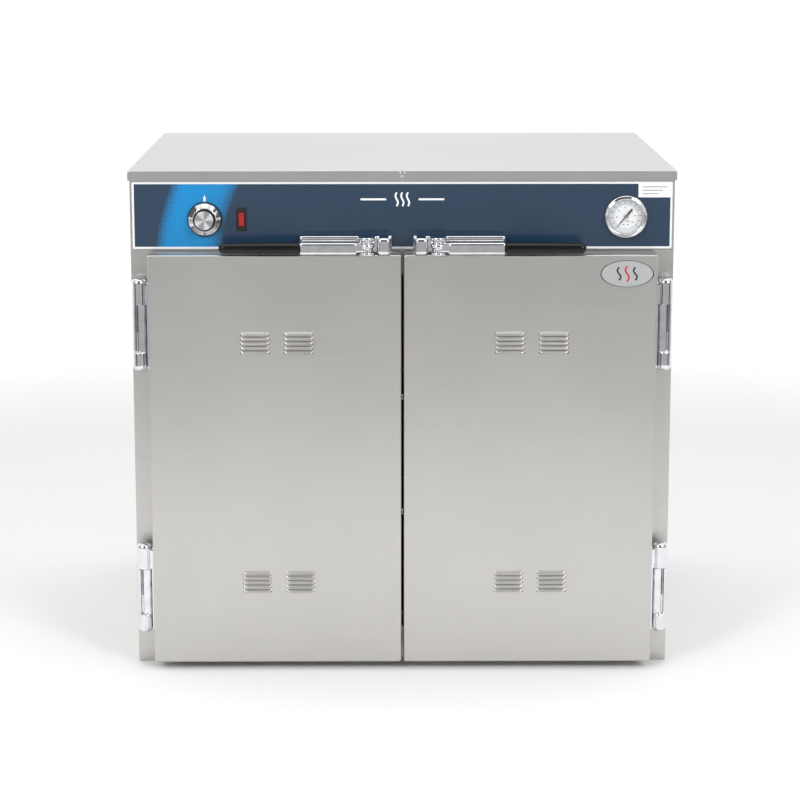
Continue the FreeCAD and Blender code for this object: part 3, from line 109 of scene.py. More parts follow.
# short lines printed in the dial's middle: across and down from its centre, and length
DIAL_LINES = ((-2.6 * MM, 10.0 * MM, 2.0 * MM), (2.6 * MM, 10.0 * MM, 2.0 * MM),
              (2.0 * MM, 5.6 * MM, 5.0 * MM))
SIGN_UP = 20.0 * MM              # heat sign above the overlay's middle, and its two bars
SIGN_BAR = (20.0 * MM, 52.0 * MM)
LABEL_W = 40.5 * MM
LABEL_H = 17.5 * MM
LABEL_PITCH = 4.2 * MM
FLOOR_NEAR = 1.2                 # the floor fades out between these distances
FLOOR_FAR = 2.4
BACKDROP_LIGHT = 1.08
ROOM_DARK = 0.95                 # how much of that light each dark stretch in front takes away
FLOOR_FALL = 0.60
GAP_DARK = 0.45
DARKEST = 0.04
EYE = (-0.022, -3.3145, 0.948)
EYE_PAN, EYE_TILT, EYE_ROLL = -0.357, -11.249, 0.010
LENS = 111.375                   # millimetres, on a 36 mm sensor


# ---------------------------------------------------------------- mesh helpers

def add_mesh(name, bm, body, material, smooth=35.0):
    """Turns bm into a piece that rides on a body of the frame."""
    bmesh.ops.recalc_face_normals(bm, faces=bm.faces)
    mesh = bpy.data.meshes.new(name)
    bm.to_mesh(mesh)
    bm.free()
    mesh.polygons.foreach_set("use_smooth", [True] * len(mesh.polygons))
    mesh.set_sharp_from_angle(angle=math.radians(smooth))
    piece = bpy.data.objects.new(name, mesh)
    bpy.context.scene.collection.objects.link(piece)
    mesh.materials.append(material)
    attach(piece, body)
    return piece


def even_shading(piece):
    """Keeps flat faces flat beside rounded ones."""
    piece.modifiers.new("sharp_edges", "EDGE_SPLIT").split_angle = math.radians(40)
    modifier = piece.modifiers.new("even_shading", "WEIGHTED_NORMAL")
    modifier.keep_sharp = True
    modifier.weight = 100


def cast(piece, voxel=0.5):
    """Melts the blocks of a casting into one skin with soft corners."""
    melt = piece.modifiers.new("one_skin", "REMESH")
    melt.mode, melt.voxel_size, melt.use_smooth_shade = "VOXEL", voxel * MM, True
    soften = piece.modifiers.new("soft_corners", "SMOOTH")
    soften.factor, soften.iterations = 0.5, 5


def box_into(bm, x, y, z, bevel=0.0, segments=3):
    """Adds a block with rounded edges; x, y and z are (low, high) pairs."""
    made = bmesh.ops.create_cube(bm, size=1.0)["verts"]
    centre = Vector([sum(pair) / 2 for pair in (x, y, z)])
    size = [abs(pair[1] - pair[0]) for pair in (x, y, z)]
    for v in made:
        v.co = Vector([c * s for c, s in zip(v.co, size)]) + centre
    if bevel:
        edges = {e for v in made for e in v.link_edges}
        bmesh.ops.bevel(bm, geom=list(edges), offset=bevel, segments=segments,
                        profile=0.5, affect="EDGES", clamp_overlap=True)


def bands_into(bm, loops):
    """Joins each closed loop of vertices to the next one with a band of faces."""
    for one, two in zip(loops, loops[1:]):
        for k in range(len(one)):
            n = (k + 1) % len(one)
            bm.faces.new((one[k], one[n], two[n], two[k]))


def turn_into(bm, profile, centre, steps=72, axis=FORWARD, closed=False):
    """Adds a turned shape; the profile is (radius, height) pairs, with height along the axis."""
    across = axis.orthogonal().normalized()
    other = axis.cross(across)
    rings = []
    for radius, height in profile:
        ring = []
        for k in range(steps):
            a = 2 * math.pi * k / steps
            spot = centre + axis * height + (across * math.cos(a) + other * math.sin(a)) * radius
            ring.append(bm.verts.new(spot))
        rings.append(ring)
    bands_into(bm, rings + (rings[:1] if closed else []))
    bmesh.ops.remove_doubles(bm, verts=[v for ring in rings for v in ring], dist=FLAT)


def arc(centre, radius, start, end, steps=6):
    """Points of an arc in a profile, from start to end in degrees."""
    turns = [math.radians(start + (end - start) * k / steps) for k in range(steps + 1)]
    return [(centre[0] + radius * math.cos(a), centre[1] + radius * math.sin(a)) for a in turns]


def plate_into(bm, outline, y, thickness):
    """Adds a flat shape on a face that looks forwards; outline is (x, z) points."""
    back = [bm.verts.new((x, y, z)) for x, z in outline]
    front = [bm.verts.new((x, y - thickness, z)) for x, z in outline]
    bm.faces.new(back)
    bm.faces.new(front)
    bands_into(bm, [back, front])


def ribbon_into(bm, path, width, y, thickness):
    """Adds a printed line of even width along a path of (x, z) points."""
    left, right = [], []
    for k, (x, z) in enumerate(path):
        ax, az = path[max(k - 1, 0)]
        bx, bz = path[min(k + 1, len(path) - 1)]
        run = math.hypot(bx - ax, bz - az)
        nx, nz = -(bz - az) / run * width / 2, (bx - ax) / run * width / 2
        left.append((x + nx, z + nz))
        right.append((x - nx, z - nz))
    plate_into(bm, left + right[::-1], y, thickness)


def ring_into(bm, centre, inner, outer, y, thickness, steps=96, squash=1.0):
    """Adds a flat printed ring; squash flattens it into an oval."""
    x, z = centre
    loops = []
    for radius, depth in ((inner, 0), (outer, 0), (outer, thickness), (inner, thickness)):
        loop = []
        for k in range(steps):
            a = 2 * math.pi * k / steps
            loop.append(bm.verts.new((x + radius * math.cos(a), y - depth,
                                      z + (radius * math.sin(a)) * squash)))
        loops.append(loop)
    bands_into(bm, loops + loops[:1])


def text_into(bm, words, size, matrix):
    """Adds raised figures; matrix places them from their own XY plane."""
    curve = bpy.data.curves.new("figures", "FONT")
    curve.body, curve.size = words, size
    curve.align_x, curve.align_y = "CENTER", "CENTER"
    curve.extrude = PRINT_T / 3
    curve.resolution_u = 3
    holder = bpy.data.objects.new("figures", curve)
    mesh = bpy.data.meshes.new_from_object(holder)
    mesh.transform(matrix)
    bm.from_mesh(mesh)
    bpy.data.objects.remove(holder)
    bpy.data.curves.remove(curve)
    bpy.data.meshes.remove(mesh)


def facing_front(x, y, z):
    """Places something drawn in the XY plane on a face that looks forwards."""
    return Matrix.Translation((x, y, z)) @ Matrix.Rotation(math.radians(90), 4, "X")


def round_rect(x0, x1, z0, z1, radius, steps=6):
    """Outline of a rectangle with rounded corners."""
    corners = ((x1 - radius, z1 - radius), (x0 + radius, z1 - radius),
               (x0 + radius, z0 + radius), (x1 - radius, z0 + radius))
    points = []
    for k, (cx, cz) in enumerate(corners):
        for s in range(steps + 1):
            a = math.pi / 2 * (k + s / steps)
            points.append((cx + radius * math.cos(a), cz + radius * math.sin(a)))
    return points


def heat_wave(x, z, height, swing, steps=24):
    """Path of one wavy line that rises like warm air."""
    return [(x + swing * math.sin(2 * math.pi * k / steps), z + height * (k / steps - 0.5))
            for k in range(steps + 1)]


# ---------------------------------------------------------------- material helpers

class Nodes:
    """Short names for building the nodes of a tree."""

    def __init__(self, owner):
        owner.use_nodes = True
        self.tree = owner.node_tree

    def node(self, kind, inputs=(), **settings):
        node = self.tree.nodes.new(kind)
        for key, value in settings.items():
            setattr(node, key, value)
        for key, value in dict(inputs).items():
            if isinstance(value, bpy.types.NodeSocket):
                self.tree.links.new(value, node.inputs[key])
            else:
                node.inputs[key].default_value = value
        return node

    def math(self, operation, *values):
        return self.node("ShaderNodeMath", dict(enumerate(values)), operation=operation).outputs[0]

    def between(self, value, low, high):
        """0 at low and 1 at high, with a soft step between them."""
        inputs = {"Value": value, "From Min": low, "From Max": high}
        return self.node("ShaderNodeMapRange", inputs, interpolation_type="SMOOTHSTEP").outputs[0]


class Graph(Nodes):
    """One material, with values for its shader's sockets."""

    def __init__(self, name, **values):
        self.material = bpy.data.materials.new(name)
        super().__init__(self.material)
        self.shader = self.tree.nodes["Principled BSDF"]
        for key, value in values.items():
            self.shader.inputs[key.replace("_", " ")].default_value = value
        self.coords = self.tree.nodes.new("ShaderNodeTexCoord").outputs["Object"]

    def scaled(self, x, y, z):
        """Object coordinates stretched for each axis."""
        node = self.node("ShaderNodeMapping", {"Vector": self.coords, "Scale": (x, y, z)})
        return node.outputs[0]

    def noise(self, vector, scale, detail=3.0, roughness=0.5):
        inputs = {"Vector": vector, "Scale": scale, "Detail": detail, "Roughness": roughness}
        return self.node("ShaderNodeTexNoise", inputs).outputs[0]

    def mix(self, factor, a, b):
        """Colour a where factor is 0 and b where it is 1."""
        return self.node("ShaderNodeMix", {0: factor, 6: a, 7: b}, data_type="RGBA").outputs[2]

    def set(self, socket, value):
        self.tree.links.new(value, self.shader.inputs[socket])

    def bump(self, height, strength, distance):
        inputs = {"Height": height, "Strength": strength, "Distance": distance}
        self.set("Normal", self.node("ShaderNodeBump", inputs).outputs[0])


def rgb(r, g, b):
    """A colour of 0 to 255 as a screen shows it, made linear."""
    def linear(c):
        c /= 255
        return c / 12.92 if c <= 0.04045 else ((c + 0.055) / 1.055) ** 2.4
    return (linear(r), linear(g), linear(b), 1.0)


def brushed_steel(name, grain, tint, roughness):
    """Sheet steel with a satin grain; grain names the axis that the lines are stacked along."""
    g = Graph(name, Metallic=1.0, Anisotropic=0.35)
    stack = {"x": (900, 6, 6), "y": (6, 900, 6), "z": (6, 6, 900)}[grain]
    lines = g.noise(g.scaled(*stack), 1.0, 4.0, 0.6)
    marks = g.noise(g.coords, 7.0, 4.0, 0.55)
    dark = tuple(c * 0.95 for c in tint[:3]) + (1.0,)
    shade = g.math("MULTIPLY_ADD", marks, 0.5, g.math("MULTIPLY", lines, 0.5))
    g.set("Base Color", g.mix(g.between(shade, 0.35, 0.65), dark, tint))
    gloss = g.math("MULTIPLY_ADD", lines, 0.10, roughness - 0.07)
    g.set("Roughness", g.math("MULTIPLY_ADD", marks, 0.05, gloss))
    g.bump(lines, 0.10, 0.00004)
    return g.material


def polished(name, tint, roughness, ripple=0.12):
    """Plated or polished metal, with the faint ripple of a casting."""
    g = Graph(name, Metallic=1.0)
    waves = g.noise(g.coords, 90.0, 2.0)
    smears = g.noise(g.coords, 400.0, 3.0)
    dull = tuple(c * 0.9 for c in tint[:3]) + (1.0,)
    g.set("Base Color", g.mix(g.between(waves, 0.3, 0.7), dull, tint))
    g.set("Roughness", g.math("MULTIPLY_ADD", smears, 0.05, roughness - 0.02))
    g.bump(waves, ripple, 0.0004)
    return g.material


def moulded(name, tint, roughness, grain=900.0, depth=0.00004, coat=0.0, shine=0.5):
    """Plastic, rubber or enamel with a fine skin."""
    g = Graph(name, Coat_Weight=coat, Coat_Roughness=0.08, Specular_IOR_Level=shine)
    skin = g.noise(g.coords, grain, 3.0)
    cloud = g.noise(g.coords, 30.0, 3.0)
    light = tuple(min(1.0, c * 1.12 + 0.002) for c in tint[:3]) + (1.0,)
    g.set("Base Color", g.mix(g.between(cloud, 0.3, 0.7), tint, light))
    g.set("Roughness", g.math("MULTIPLY_ADD", skin, 0.10, roughness - 0.05))
    g.bump(skin, 0.4, depth)
    return g.material


def wool(name, tint):
    """Mineral wool, matted in fine threads."""
    g = Graph(name, Roughness=0.95)
    threads = g.noise(g.scaled(60, 500, 500), 1.0, 6.0, 0.7)
    pale = tuple(min(1.0, c * 1.5) for c in tint[:3]) + (1.0,)
    g.set("Base Color", g.mix(threads, tint, pale))
    g.bump(threads, 0.8, 0.0015)
    return g.material


def clear_cover(name):
    """Thin clear window: light passes straight through, and its face still shines."""
    g = Graph(name)
    tree = g.tree
    haze = g.noise(g.coords, 60.0, 2.0)
    through = g.node("ShaderNodeBsdfTransparent").outputs[0]
    shine = g.node("ShaderNodeBsdfGlossy", {"Roughness": 0.03}).outputs[0]
    amount = g.math("MULTIPLY_ADD", haze, 0.02, 0.03)
    blend = g.node("ShaderNodeMixShader", {"Fac": amount, 1: through, 2: shine})
    tree.links.new(blend.outputs[0], tree.nodes["Material Output"].inputs["Surface"])
    tree.nodes.remove(g.shader)
    return g.material


def lamp_red(name):
    """Red lens with a glow behind its fine ribs."""
    g = Graph(name, Coat_Weight=0.6, Coat_Roughness=0.05, Roughness=0.18)
    z = g.node("ShaderNodeSeparateXYZ", {0: g.coords}).outputs[2]
    ribs = g.math("SINE", g.math("MULTIPLY", z, 2 * math.pi / (1.2 * MM)))
    depth = g.noise(g.coords, 120.0, 2.0)
    g.set("Base Color", g.mix(g.between(depth, 0.3, 0.7), rgb(140, 14, 14), rgb(176, 26, 22)))
    g.set("Emission Color", g.mix(depth, rgb(190, 16, 16), rgb(215, 36, 30)))
    g.shader.inputs["Emission Strength"].default_value = 0.06
    g.bump(ribs, 0.25, 0.0002)
    return g.material


def overlay_print(name):
    """Control overlay: navy film, a white edge, and a crescent of blue halftone dots."""
    low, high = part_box("control_overlay")
    g = Graph(name, Coat_Weight=0.45, Coat_Roughness=0.04)
    x, _, z = g.node("ShaderNodeSeparateXYZ", {0: g.coords}).outputs
    mid_z = (low.z + high.z) / 2
    from_side = g.math("SUBTRACT", high.x, g.math("ABSOLUTE", x))
    from_end = g.math("SUBTRACT", (high.z - low.z) / 2,
                      g.math("ABSOLUTE", g.math("SUBTRACT", z, mid_z)))
    edge = g.math("MINIMUM", from_side, from_end)
    border = g.between(edge, BORDER_W, BORDER_W - 0.2 * MM)

    def inside(reach_x, drop, radius, soft_in, soft_out):
        """1 inside a circle whose centre lies reach_x from the left edge, drop below the middle."""
        dx = g.math("SUBTRACT", x, low.x + reach_x)
        dz = g.math("SUBTRACT", z, mid_z - drop)
        distance = g.math("SQRT", g.math("ADD", g.math("MULTIPLY", dx, dx),
                                         g.math("MULTIPLY", dz, dz)))
        return g.between(distance, radius + soft_out, radius - soft_in)

    outer, inner = inside(*CRESCENT_OUTER), inside(*CRESCENT_INNER)
    left_only = g.math("LESS_THAN", x, 0.0)
    cover = g.math("MULTIPLY", left_only, g.math("MULTIPLY", outer, g.math("SUBTRACT", 1.0, inner)))
    rows = g.math("SINE", g.math("MULTIPLY", g.math("ADD", x, z), 2 * math.pi / DOT_PITCH))
    columns = g.math("SINE", g.math("MULTIPLY", g.math("SUBTRACT", x, z), 2 * math.pi / DOT_PITCH))
    dots = g.math("MULTIPLY_ADD", g.math("MULTIPLY", rows, columns), 0.5, 0.5)
    weight = g.math("MULTIPLY", g.between(cover, 0.0, 0.35), 1.3)
    tone = g.math("MULTIPLY", cover, 1.04)
    ink = g.between(g.math("MULTIPLY_ADD", g.math("SUBTRACT", 0.5, dots), weight, tone), 0.25, 0.75)
    film = g.noise(g.coords, 9.0, 3.0)
    navy = g.mix(g.between(film, 0.3, 0.7), rgb(34, 58, 82), rgb(39, 62, 87))
    field = g.mix(ink, navy, rgb(0, 144, 212))
    g.set("Base Color", g.mix(border, field, rgb(246, 248, 250)))
    skin = g.noise(g.coords, 700.0, 2.0)
    g.set("Roughness", g.math("MULTIPLY_ADD", skin, 0.08, 0.16))
    g.bump(skin, 0.12, 0.00003)
    return g.material


def spun_metal(name, centre):
    """Turned face with lathe marks in its roughness and bump; the bright and dark radial wedges and
    streaks in its colour are painted reflection of the lamps.
    """
    g = Graph(name, Metallic=0.6)
    x, _, z = g.node("ShaderNodeSeparateXYZ", {0: g.coords}).outputs
    dx, dz = g.math("SUBTRACT", x, centre.x), g.math("SUBTRACT", z, centre.z)
    angle = g.math("ARCTAN2", dz, dx)
    radius = g.math("SQRT", g.math("ADD", g.math("MULTIPLY", dx, dx), g.math("MULTIPLY", dz, dz)))
    turned = g.node("ShaderNodeCombineXYZ", {0: g.math("MULTIPLY", radius, 4000.0),
                                             1: g.math("MULTIPLY", angle, 0.6)}).outputs[0]
    lines = g.noise(turned, 1.0, 3.0)
    # painted reflection: four bright and dark wedges and fine radial streaks, the sheen a spun face
    # shows under lamps
    painted_rays = g.math("MULTIPLY_ADD", g.math("SINE", g.math("MULTIPLY", angle, 4.0)), 0.5, 0.5)
    painted_streaks = g.noise(g.node("ShaderNodeCombineXYZ", {0: g.math("SINE", angle),
                                                     1: g.math("COSINE", angle)}).outputs[0], 5.0)
    painted_sheen = g.math("MULTIPLY_ADD", painted_rays, 0.45, g.math("MULTIPLY", painted_streaks, 0.55))
    g.set("Base Color", g.mix(g.between(painted_sheen, 0.3, 0.75), rgb(172, 172, 174), rgb(250, 250, 251)))
    g.set("Roughness", g.math("MULTIPLY_ADD", lines, 0.10, 0.08))
    g.bump(lines, 0.2, 0.00004)
    return g.material


def make_materials():
    steel = rgb(205, 203, 200)
    knob = centre_of("knob_trim")
    return {
        "stainless": brushed_steel("stainless", "z", steel, 0.34),
        "stainless_top": brushed_steel("stainless_top", "y", rgb(204, 204, 204), 0.30),
        "liner": brushed_steel("liner_steel", "z", rgb(190, 189, 187), 0.36),
        "chrome": polished("chrome", rgb(232, 233, 236), 0.07),
        "wire": polished("bright_wire", rgb(214, 215, 217), 0.14, ripple=0.05),
        "pin": polished("steel_pin", rgb(170, 171, 174), 0.22, ripple=0.05),
        "screws": polished("screw_steel", rgb(196, 197, 199), 0.24, ripple=0.05),
        "spun": spun_metal("spun_cap", knob),
        "overlay": overlay_print("overlay_print"),
        "grip": moulded("black_grip", rgb(10, 9, 10), 0.26, grain=500.0, depth=0.00003,
                        coat=0.12, shine=0.3),
        "knob": moulded("knob_black", rgb(14, 14, 15), 0.38),
        "plastic": moulded("dark_plastic", rgb(24, 24, 26), 0.42),
        "terminal": moulded("terminal_block", rgb(214, 208, 190), 0.55),
        "gasket": moulded("door_gasket", rgb(30, 30, 31), 0.62, grain=300.0, depth=0.00010),
        "cable": moulded("heating_cable", rgb(150, 60, 40), 0.50),
        "wires": moulded("wire_sleeve", rgb(170, 168, 160), 0.52),
        "magnet": moulded("magnet", rgb(52, 50, 50), 0.60),
        "copper": polished("sensor_copper", rgb(196, 120, 84), 0.28),
        "wool": wool("mineral_wool", rgb(196, 176, 110)),
        "glass": clear_cover("clear_cover"),
        "red": lamp_red("lamp_red"),
        "dial": moulded("dial_enamel", rgb(246, 247, 249), 0.40, grain=600.0, depth=0.00001),
        "ink": moulded("black_ink", rgb(20, 20, 24), 0.45),
        "grey_ink": moulded("grey_ink", rgb(150, 156, 164), 0.50),
        "pale_ink": moulded("pale_ink", rgb(218, 222, 228), 0.50),
        "red_ink": moulded("red_ink", rgb(196, 40, 48), 0.40),
        "white_ink": moulded("white_ink", rgb(244, 246, 248), 0.42),
        "plate": brushed_steel("badge_plate", "z", rgb(236, 237, 239), 0.30),
    }


def centre_of(node):
    low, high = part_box(node)
    return (low + high) / 2


# the CAD nodes that stay in view, by the material they take
CAD_MATERIALS = {
    "stainless": ("back_panel", "bottom_pan", "face_frame", "control_panel", "left_side_panel",
                  "right_side_panel", "compartment_floor", "latch_strikes"),
    "stainless_top": ("top_cover",),
    "liner": ("inner_liner", "drip_tray", "left_door_inner", "right_door_inner",
              "left_upper_slide", "left_lower_slide", "right_upper_slide", "right_lower_slide"),
    "wire": ("side_racks", "shelves"),
    "chrome": ("left_door_hinges", "right_door_hinges"),
    "screws": ("body_screws", "left_door_screws", "right_door_screws", "left_latch_pin",
               "right_latch_pin"),
    "pin": ("hinge_pins", "knob_shaft"),
    "overlay": ("control_overlay",),
    "plastic": ("thermostat", "cord_gland"),
    "terminal": ("terminal_block",),
    "gasket": ("left_door_gasket", "right_door_gasket"),
    "cable": ("heating_cable",),
    "wires": ("wiring",),
    "magnet": ("left_latch_magnet", "right_latch_magnet"),
    "copper": ("sensors",),
    "wool": ("insulation", "left_door_insulation", "right_door_insulation"),
    "glass": ("thermometer_lens",),
    "red": ("lamp_lens",),
    "dial": ("thermometer_dial",),
    "ink": ("thermometer_needle",),
    "plate": ("badge",),
}


def paint_cad(materials):
    """Gives every CAD piece that stays its material."""
    for kind, nodes in CAD_MATERIALS.items():
        for node in nodes:
            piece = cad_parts[node]
            piece.data.materials.clear()
            piece.data.materials.append(materials[kind])


# ---------------------------------------------------------------- doors

def louvre_places(side):
    """(x, z) of the middle of each louvre on a door."""
    places = []
    for level in ("upper", "lower"):
        middle = centre_of(f"{side}_{level}_slide")
        for block in (-1, 1):
            for row in range(LOUVRE_COUNT):
                up = (row - (LOUVRE_COUNT - 1) / 2) * LOUVRE_PITCH
                places.append((middle.x + block * BLOCK_OFFSET, middle.z + up))
    return places


def hood_into(bm, x, y, z, columns=28, rows=8):
    """Adds one pressed louvre: joined along its top, open below, with rounded ends.

    Across its width s runs from -1 to 1, and from its top to its lower lip t runs from 0 to 1.
    """
    grid = []
    for j in range(rows + 1):
        t = j / rows
        line = []
        for i in range(columns + 1):
            s = 2 * i / columns - 1
            end = math.sqrt(max(0.0, 1 - abs(s) ** LOUVRE_SQUARENESS))
            stand = LOUVRE_STAND * end * math.sin(t * math.pi / 2) ** LOUVRE_CREST
            drop = LOUVRE_H * (0.5 - t * (0.25 + 0.75 * end) if t else 0.5)
            line.append(bm.verts.new((x + s * LOUVRE_W / 2, y - stand, z + drop)))
        grid.append(line)
    for one, two in zip(grid, grid[1:]):
        for i in range(columns):
            bm.faces.new((one[i], one[i + 1], two[i + 1], two[i]))


def door_skin(side, materials):
    """The door's outer pan: soft bends, slots, and louvre hoods over the slots."""
    node = f"{side}_door_skin"
    low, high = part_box(node)
    front = low.y + LOUVRE_STAND
    bm = bmesh.new()
    box_into(bm, (low.x, high.x), (front, high.y), (low.z, high.z))
    back = [f for f in bm.faces if f.calc_center_median().y > high.y - FLAT]
    bmesh.ops.delete(bm, geom=back, context="FACES")
    edges = [e for e in bm.edges if not all(abs(v.co.y - high.y) < FLAT for v in e.verts)]
    bmesh.ops.bevel(bm, geom=edges, offset=BEND_R, segments=5, profile=0.5, affect="EDGES")
    places = louvre_places(side)
    cuts = {("x", round(x + s * LOUVRE_W / 2, 6)) for x, _ in places for s in (-1, 1)}
    cuts |= {("z", round(z + s * LOUVRE_H / 2, 6)) for _, z in places for s in (-1, 1)}
    for axis, value in sorted(cuts):
        normal = Vector((1, 0, 0)) if axis == "x" else UP
        geom = bm.verts[:] + bm.edges[:] + bm.faces[:]
        bmesh.ops.bisect_plane(bm, geom=geom, dist=1e-7, plane_co=normal * value, plane_no=normal)

    def under_a_louvre(face):
        c = face.calc_center_median()
        return abs(c.y - front) < FLAT and any(
            abs(c.x - x) < LOUVRE_W / 2 and abs(c.z - z) < LOUVRE_H / 2 for x, z in places)

    slots = [face for face in bm.faces if under_a_louvre(face)]
    bmesh.ops.delete(bm, geom=slots, context="FACES")
    for x, z in places:
        hood_into(bm, x, front, z)
    piece = add_mesh(f"{side}_door_shell", bm, f"{side}_door", materials["stainless"])
    sheet = piece.modifiers.new("sheet", "SOLIDIFY")
    sheet.thickness, sheet.offset = SHEET, -1
    even_shading(piece)
    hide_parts(node)


# ---------------------------------------------------------------- hinges

def post_into(bm, outline, bottom, top):
    """Adds an upright bar with the outline given as (x, y) pairs."""
    below, above = ([bm.verts.new((x, y, z)) for x, y in outline] for z in (bottom, top))
    bands_into(bm, [below, above])
    bm.faces.new(below[::-1])
    bm.faces.new(above)


def hinge_housings(materials):
    """Cast housings on the face frame: a grooved post on a round foot."""
    low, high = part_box("frame_hinges")
    r, y = HOUSING_R, low.y + HOUSING_R
    bm = bmesh.new()
    for way in (-1, 1):
        x = way * (high.x - r)
        outline = [(x + way * a * r, high.y if b is None else y + b * r) for a, b in POST_SIDE]
        for bottom in (low.z, high.z - HOUSING_H):
            top = bottom + HOUSING_H
            foot = [(0.0, 0.0)] + arc((r - FOOT_R, FOOT_R), FOOT_R, -90, 0, 10)
            foot += arc((r - FOOT_RIM_R, HOUSING_FOOT - FOOT_RIM_R), FOOT_RIM_R, 0, 90, 4)
            foot.append((0.0, HOUSING_FOOT))
            turn_into(bm, foot, Vector((x, y, bottom)), 48, UP)
            box_into(bm, (x - r, x + r), (y, high.y), (bottom + 5 * MM, bottom + HOUSING_FOOT), 0.8 * MM)
            post_into(bm, outline, bottom + HOUSING_FOOT - 0.5 * MM, top)
    housings = add_mesh("hinge_housings", bm, "cabinet", materials["chrome"])
    cast(housings, 0.6)
    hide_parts("frame_hinges")


# ---------------------------------------------------------------- latches

def latch(side, materials):
    """Chromed base and lever of a door's pull latch, and its moulded grip."""
    way = SIDES[side]
    base_low, base_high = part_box(f"{side}_latch_base")
    grip_low, grip_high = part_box(f"{side}_latch_grip")
    pin = centre_of(f"{side}_latch_pin")
    spans = [abs(x) for x in (base_low.x, base_high.x)]
    inner, outer = min(spans), max(spans)
    floor, roof, back = base_low.z, base_low.z + LATCH_H, base_high.y
    body_front = back - LATCH_BODY_D
    grip_mid = (grip_low + grip_high) / 2

    def across(near, far):
        return tuple(sorted((way * near, way * far)))

    # the base: long body, tall end block, lip at the door's edge, and two ears round the pin
    bm = bmesh.new()
    box_into(bm, across(inner + 6 * MM, outer), (body_front, back), (floor, roof), 2.6 * MM, 5)
    box_into(bm, across(inner, inner + LATCH_END_W), (pin.y - 7 * MM, back),
             (floor, base_high.z), 4.6 * MM, 6)
    box_into(bm, across(inner - 2 * MM, inner + 3 * MM), (body_front + 2 * MM, back),
             (floor, base_high.z + 1 * MM), 2.2 * MM, 5)
    for z in (floor, roof - EAR_T):
        eye = Vector((pin.x, pin.y, z))
        rim = [(0.0, 0.0), (EAR_R, 0.0), (EAR_R, EAR_T - EDGE_R)]
        rim += arc((EAR_R - EDGE_R, EAR_T - EDGE_R), EDGE_R, 0, 90) + [(0.0, EAR_T)]
        turn_into(bm, rim, eye, 64, UP)
        box_into(bm, (pin.x - EAR_R, pin.x + EAR_R), (pin.y, body_front + 4 * MM),
                 (z, z + EAR_T), 0.8 * MM)
    base = add_mesh(f"{side}_latch_body", bm, f"{side}_door", materials["chrome"])
    cast(base)
    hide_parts(f"{side}_latch_base")

    # the lever: a bar, the web that joins it to the pin, and the boss round the pin
    bm = bmesh.new()
    lift = (grip_mid.z - LEVER_H / 2, grip_mid.z + LEVER_H / 2 + 1.8 * MM)
    depth = (grip_mid.y - LEVER_D / 2, grip_mid.y + LEVER_D / 2)
    u = abs(pin.x)
    box_into(bm, across(u + EAR_R + 2 * MM, outer), depth, lift, 3.2 * MM, 6)
    box_into(bm, across(u, u + EAR_R + 8 * MM), (depth[0] + 0.6 * MM, depth[1] - 1 * MM),
             (floor + EAR_T + 0.4 * MM, lift[1] - 0.6 * MM), 2.0 * MM, 4)
    half = (LATCH_H - 2 * EAR_T) / 2 - 0.4 * MM
    boss = [(0.0, -half), (EAR_R - 2.4 * MM, -half)]
    boss += arc((EAR_R - 3.4 * MM, 0.0), 3.0 * MM, -80, 80, 10)
    boss += [(EAR_R - 2.4 * MM, half), (0.0, half)]
    turn_into(bm, boss, Vector((pin.x, pin.y, (floor + roof) / 2)), 64, UP)
    lever = add_mesh(f"{side}_lever", bm, f"{side}_latch", materials["chrome"])
    cast(lever)
    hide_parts(f"{side}_latch_lever")

    # the grip: straight at first, then a soft taper and a round tip
    bm = bmesh.new()
    steps = 12
    length = grip_high.x - grip_low.x
    thick = (grip_high.z - grip_low.z) / 2 + GRIP_SLEEVE_T
    tip, straight = thick * GRIP_TAPER, length * GRIP_STRAIGHT
    profile = [(0.0, 0.0), (thick - EDGE_R, 0.0)] + arc((thick - EDGE_R, EDGE_R), EDGE_R, -90, 0)
    profile.append((thick, straight))
    for k in range(1, steps + 1):
        t = k / steps
        slim = thick + (tip - thick) * t * t * (3 - 2 * t)
        profile.append((slim, straight + (length - straight - tip) * t))
    profile += arc((0.0, length - tip), tip, 0, 90, steps)[1:]
    foot = Vector((way * outer, grip_mid.y, grip_mid.z + GRIP_SLEEVE_T + 0.2 * MM))
    turn_into(bm, profile, foot, 64, Vector((way, 0, 0)))
    grip = add_mesh(f"{side}_grip", bm, f"{side}_latch", materials["grip"], 60.0)
    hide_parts(f"{side}_latch_grip")


# ---------------------------------------------------------------- controls

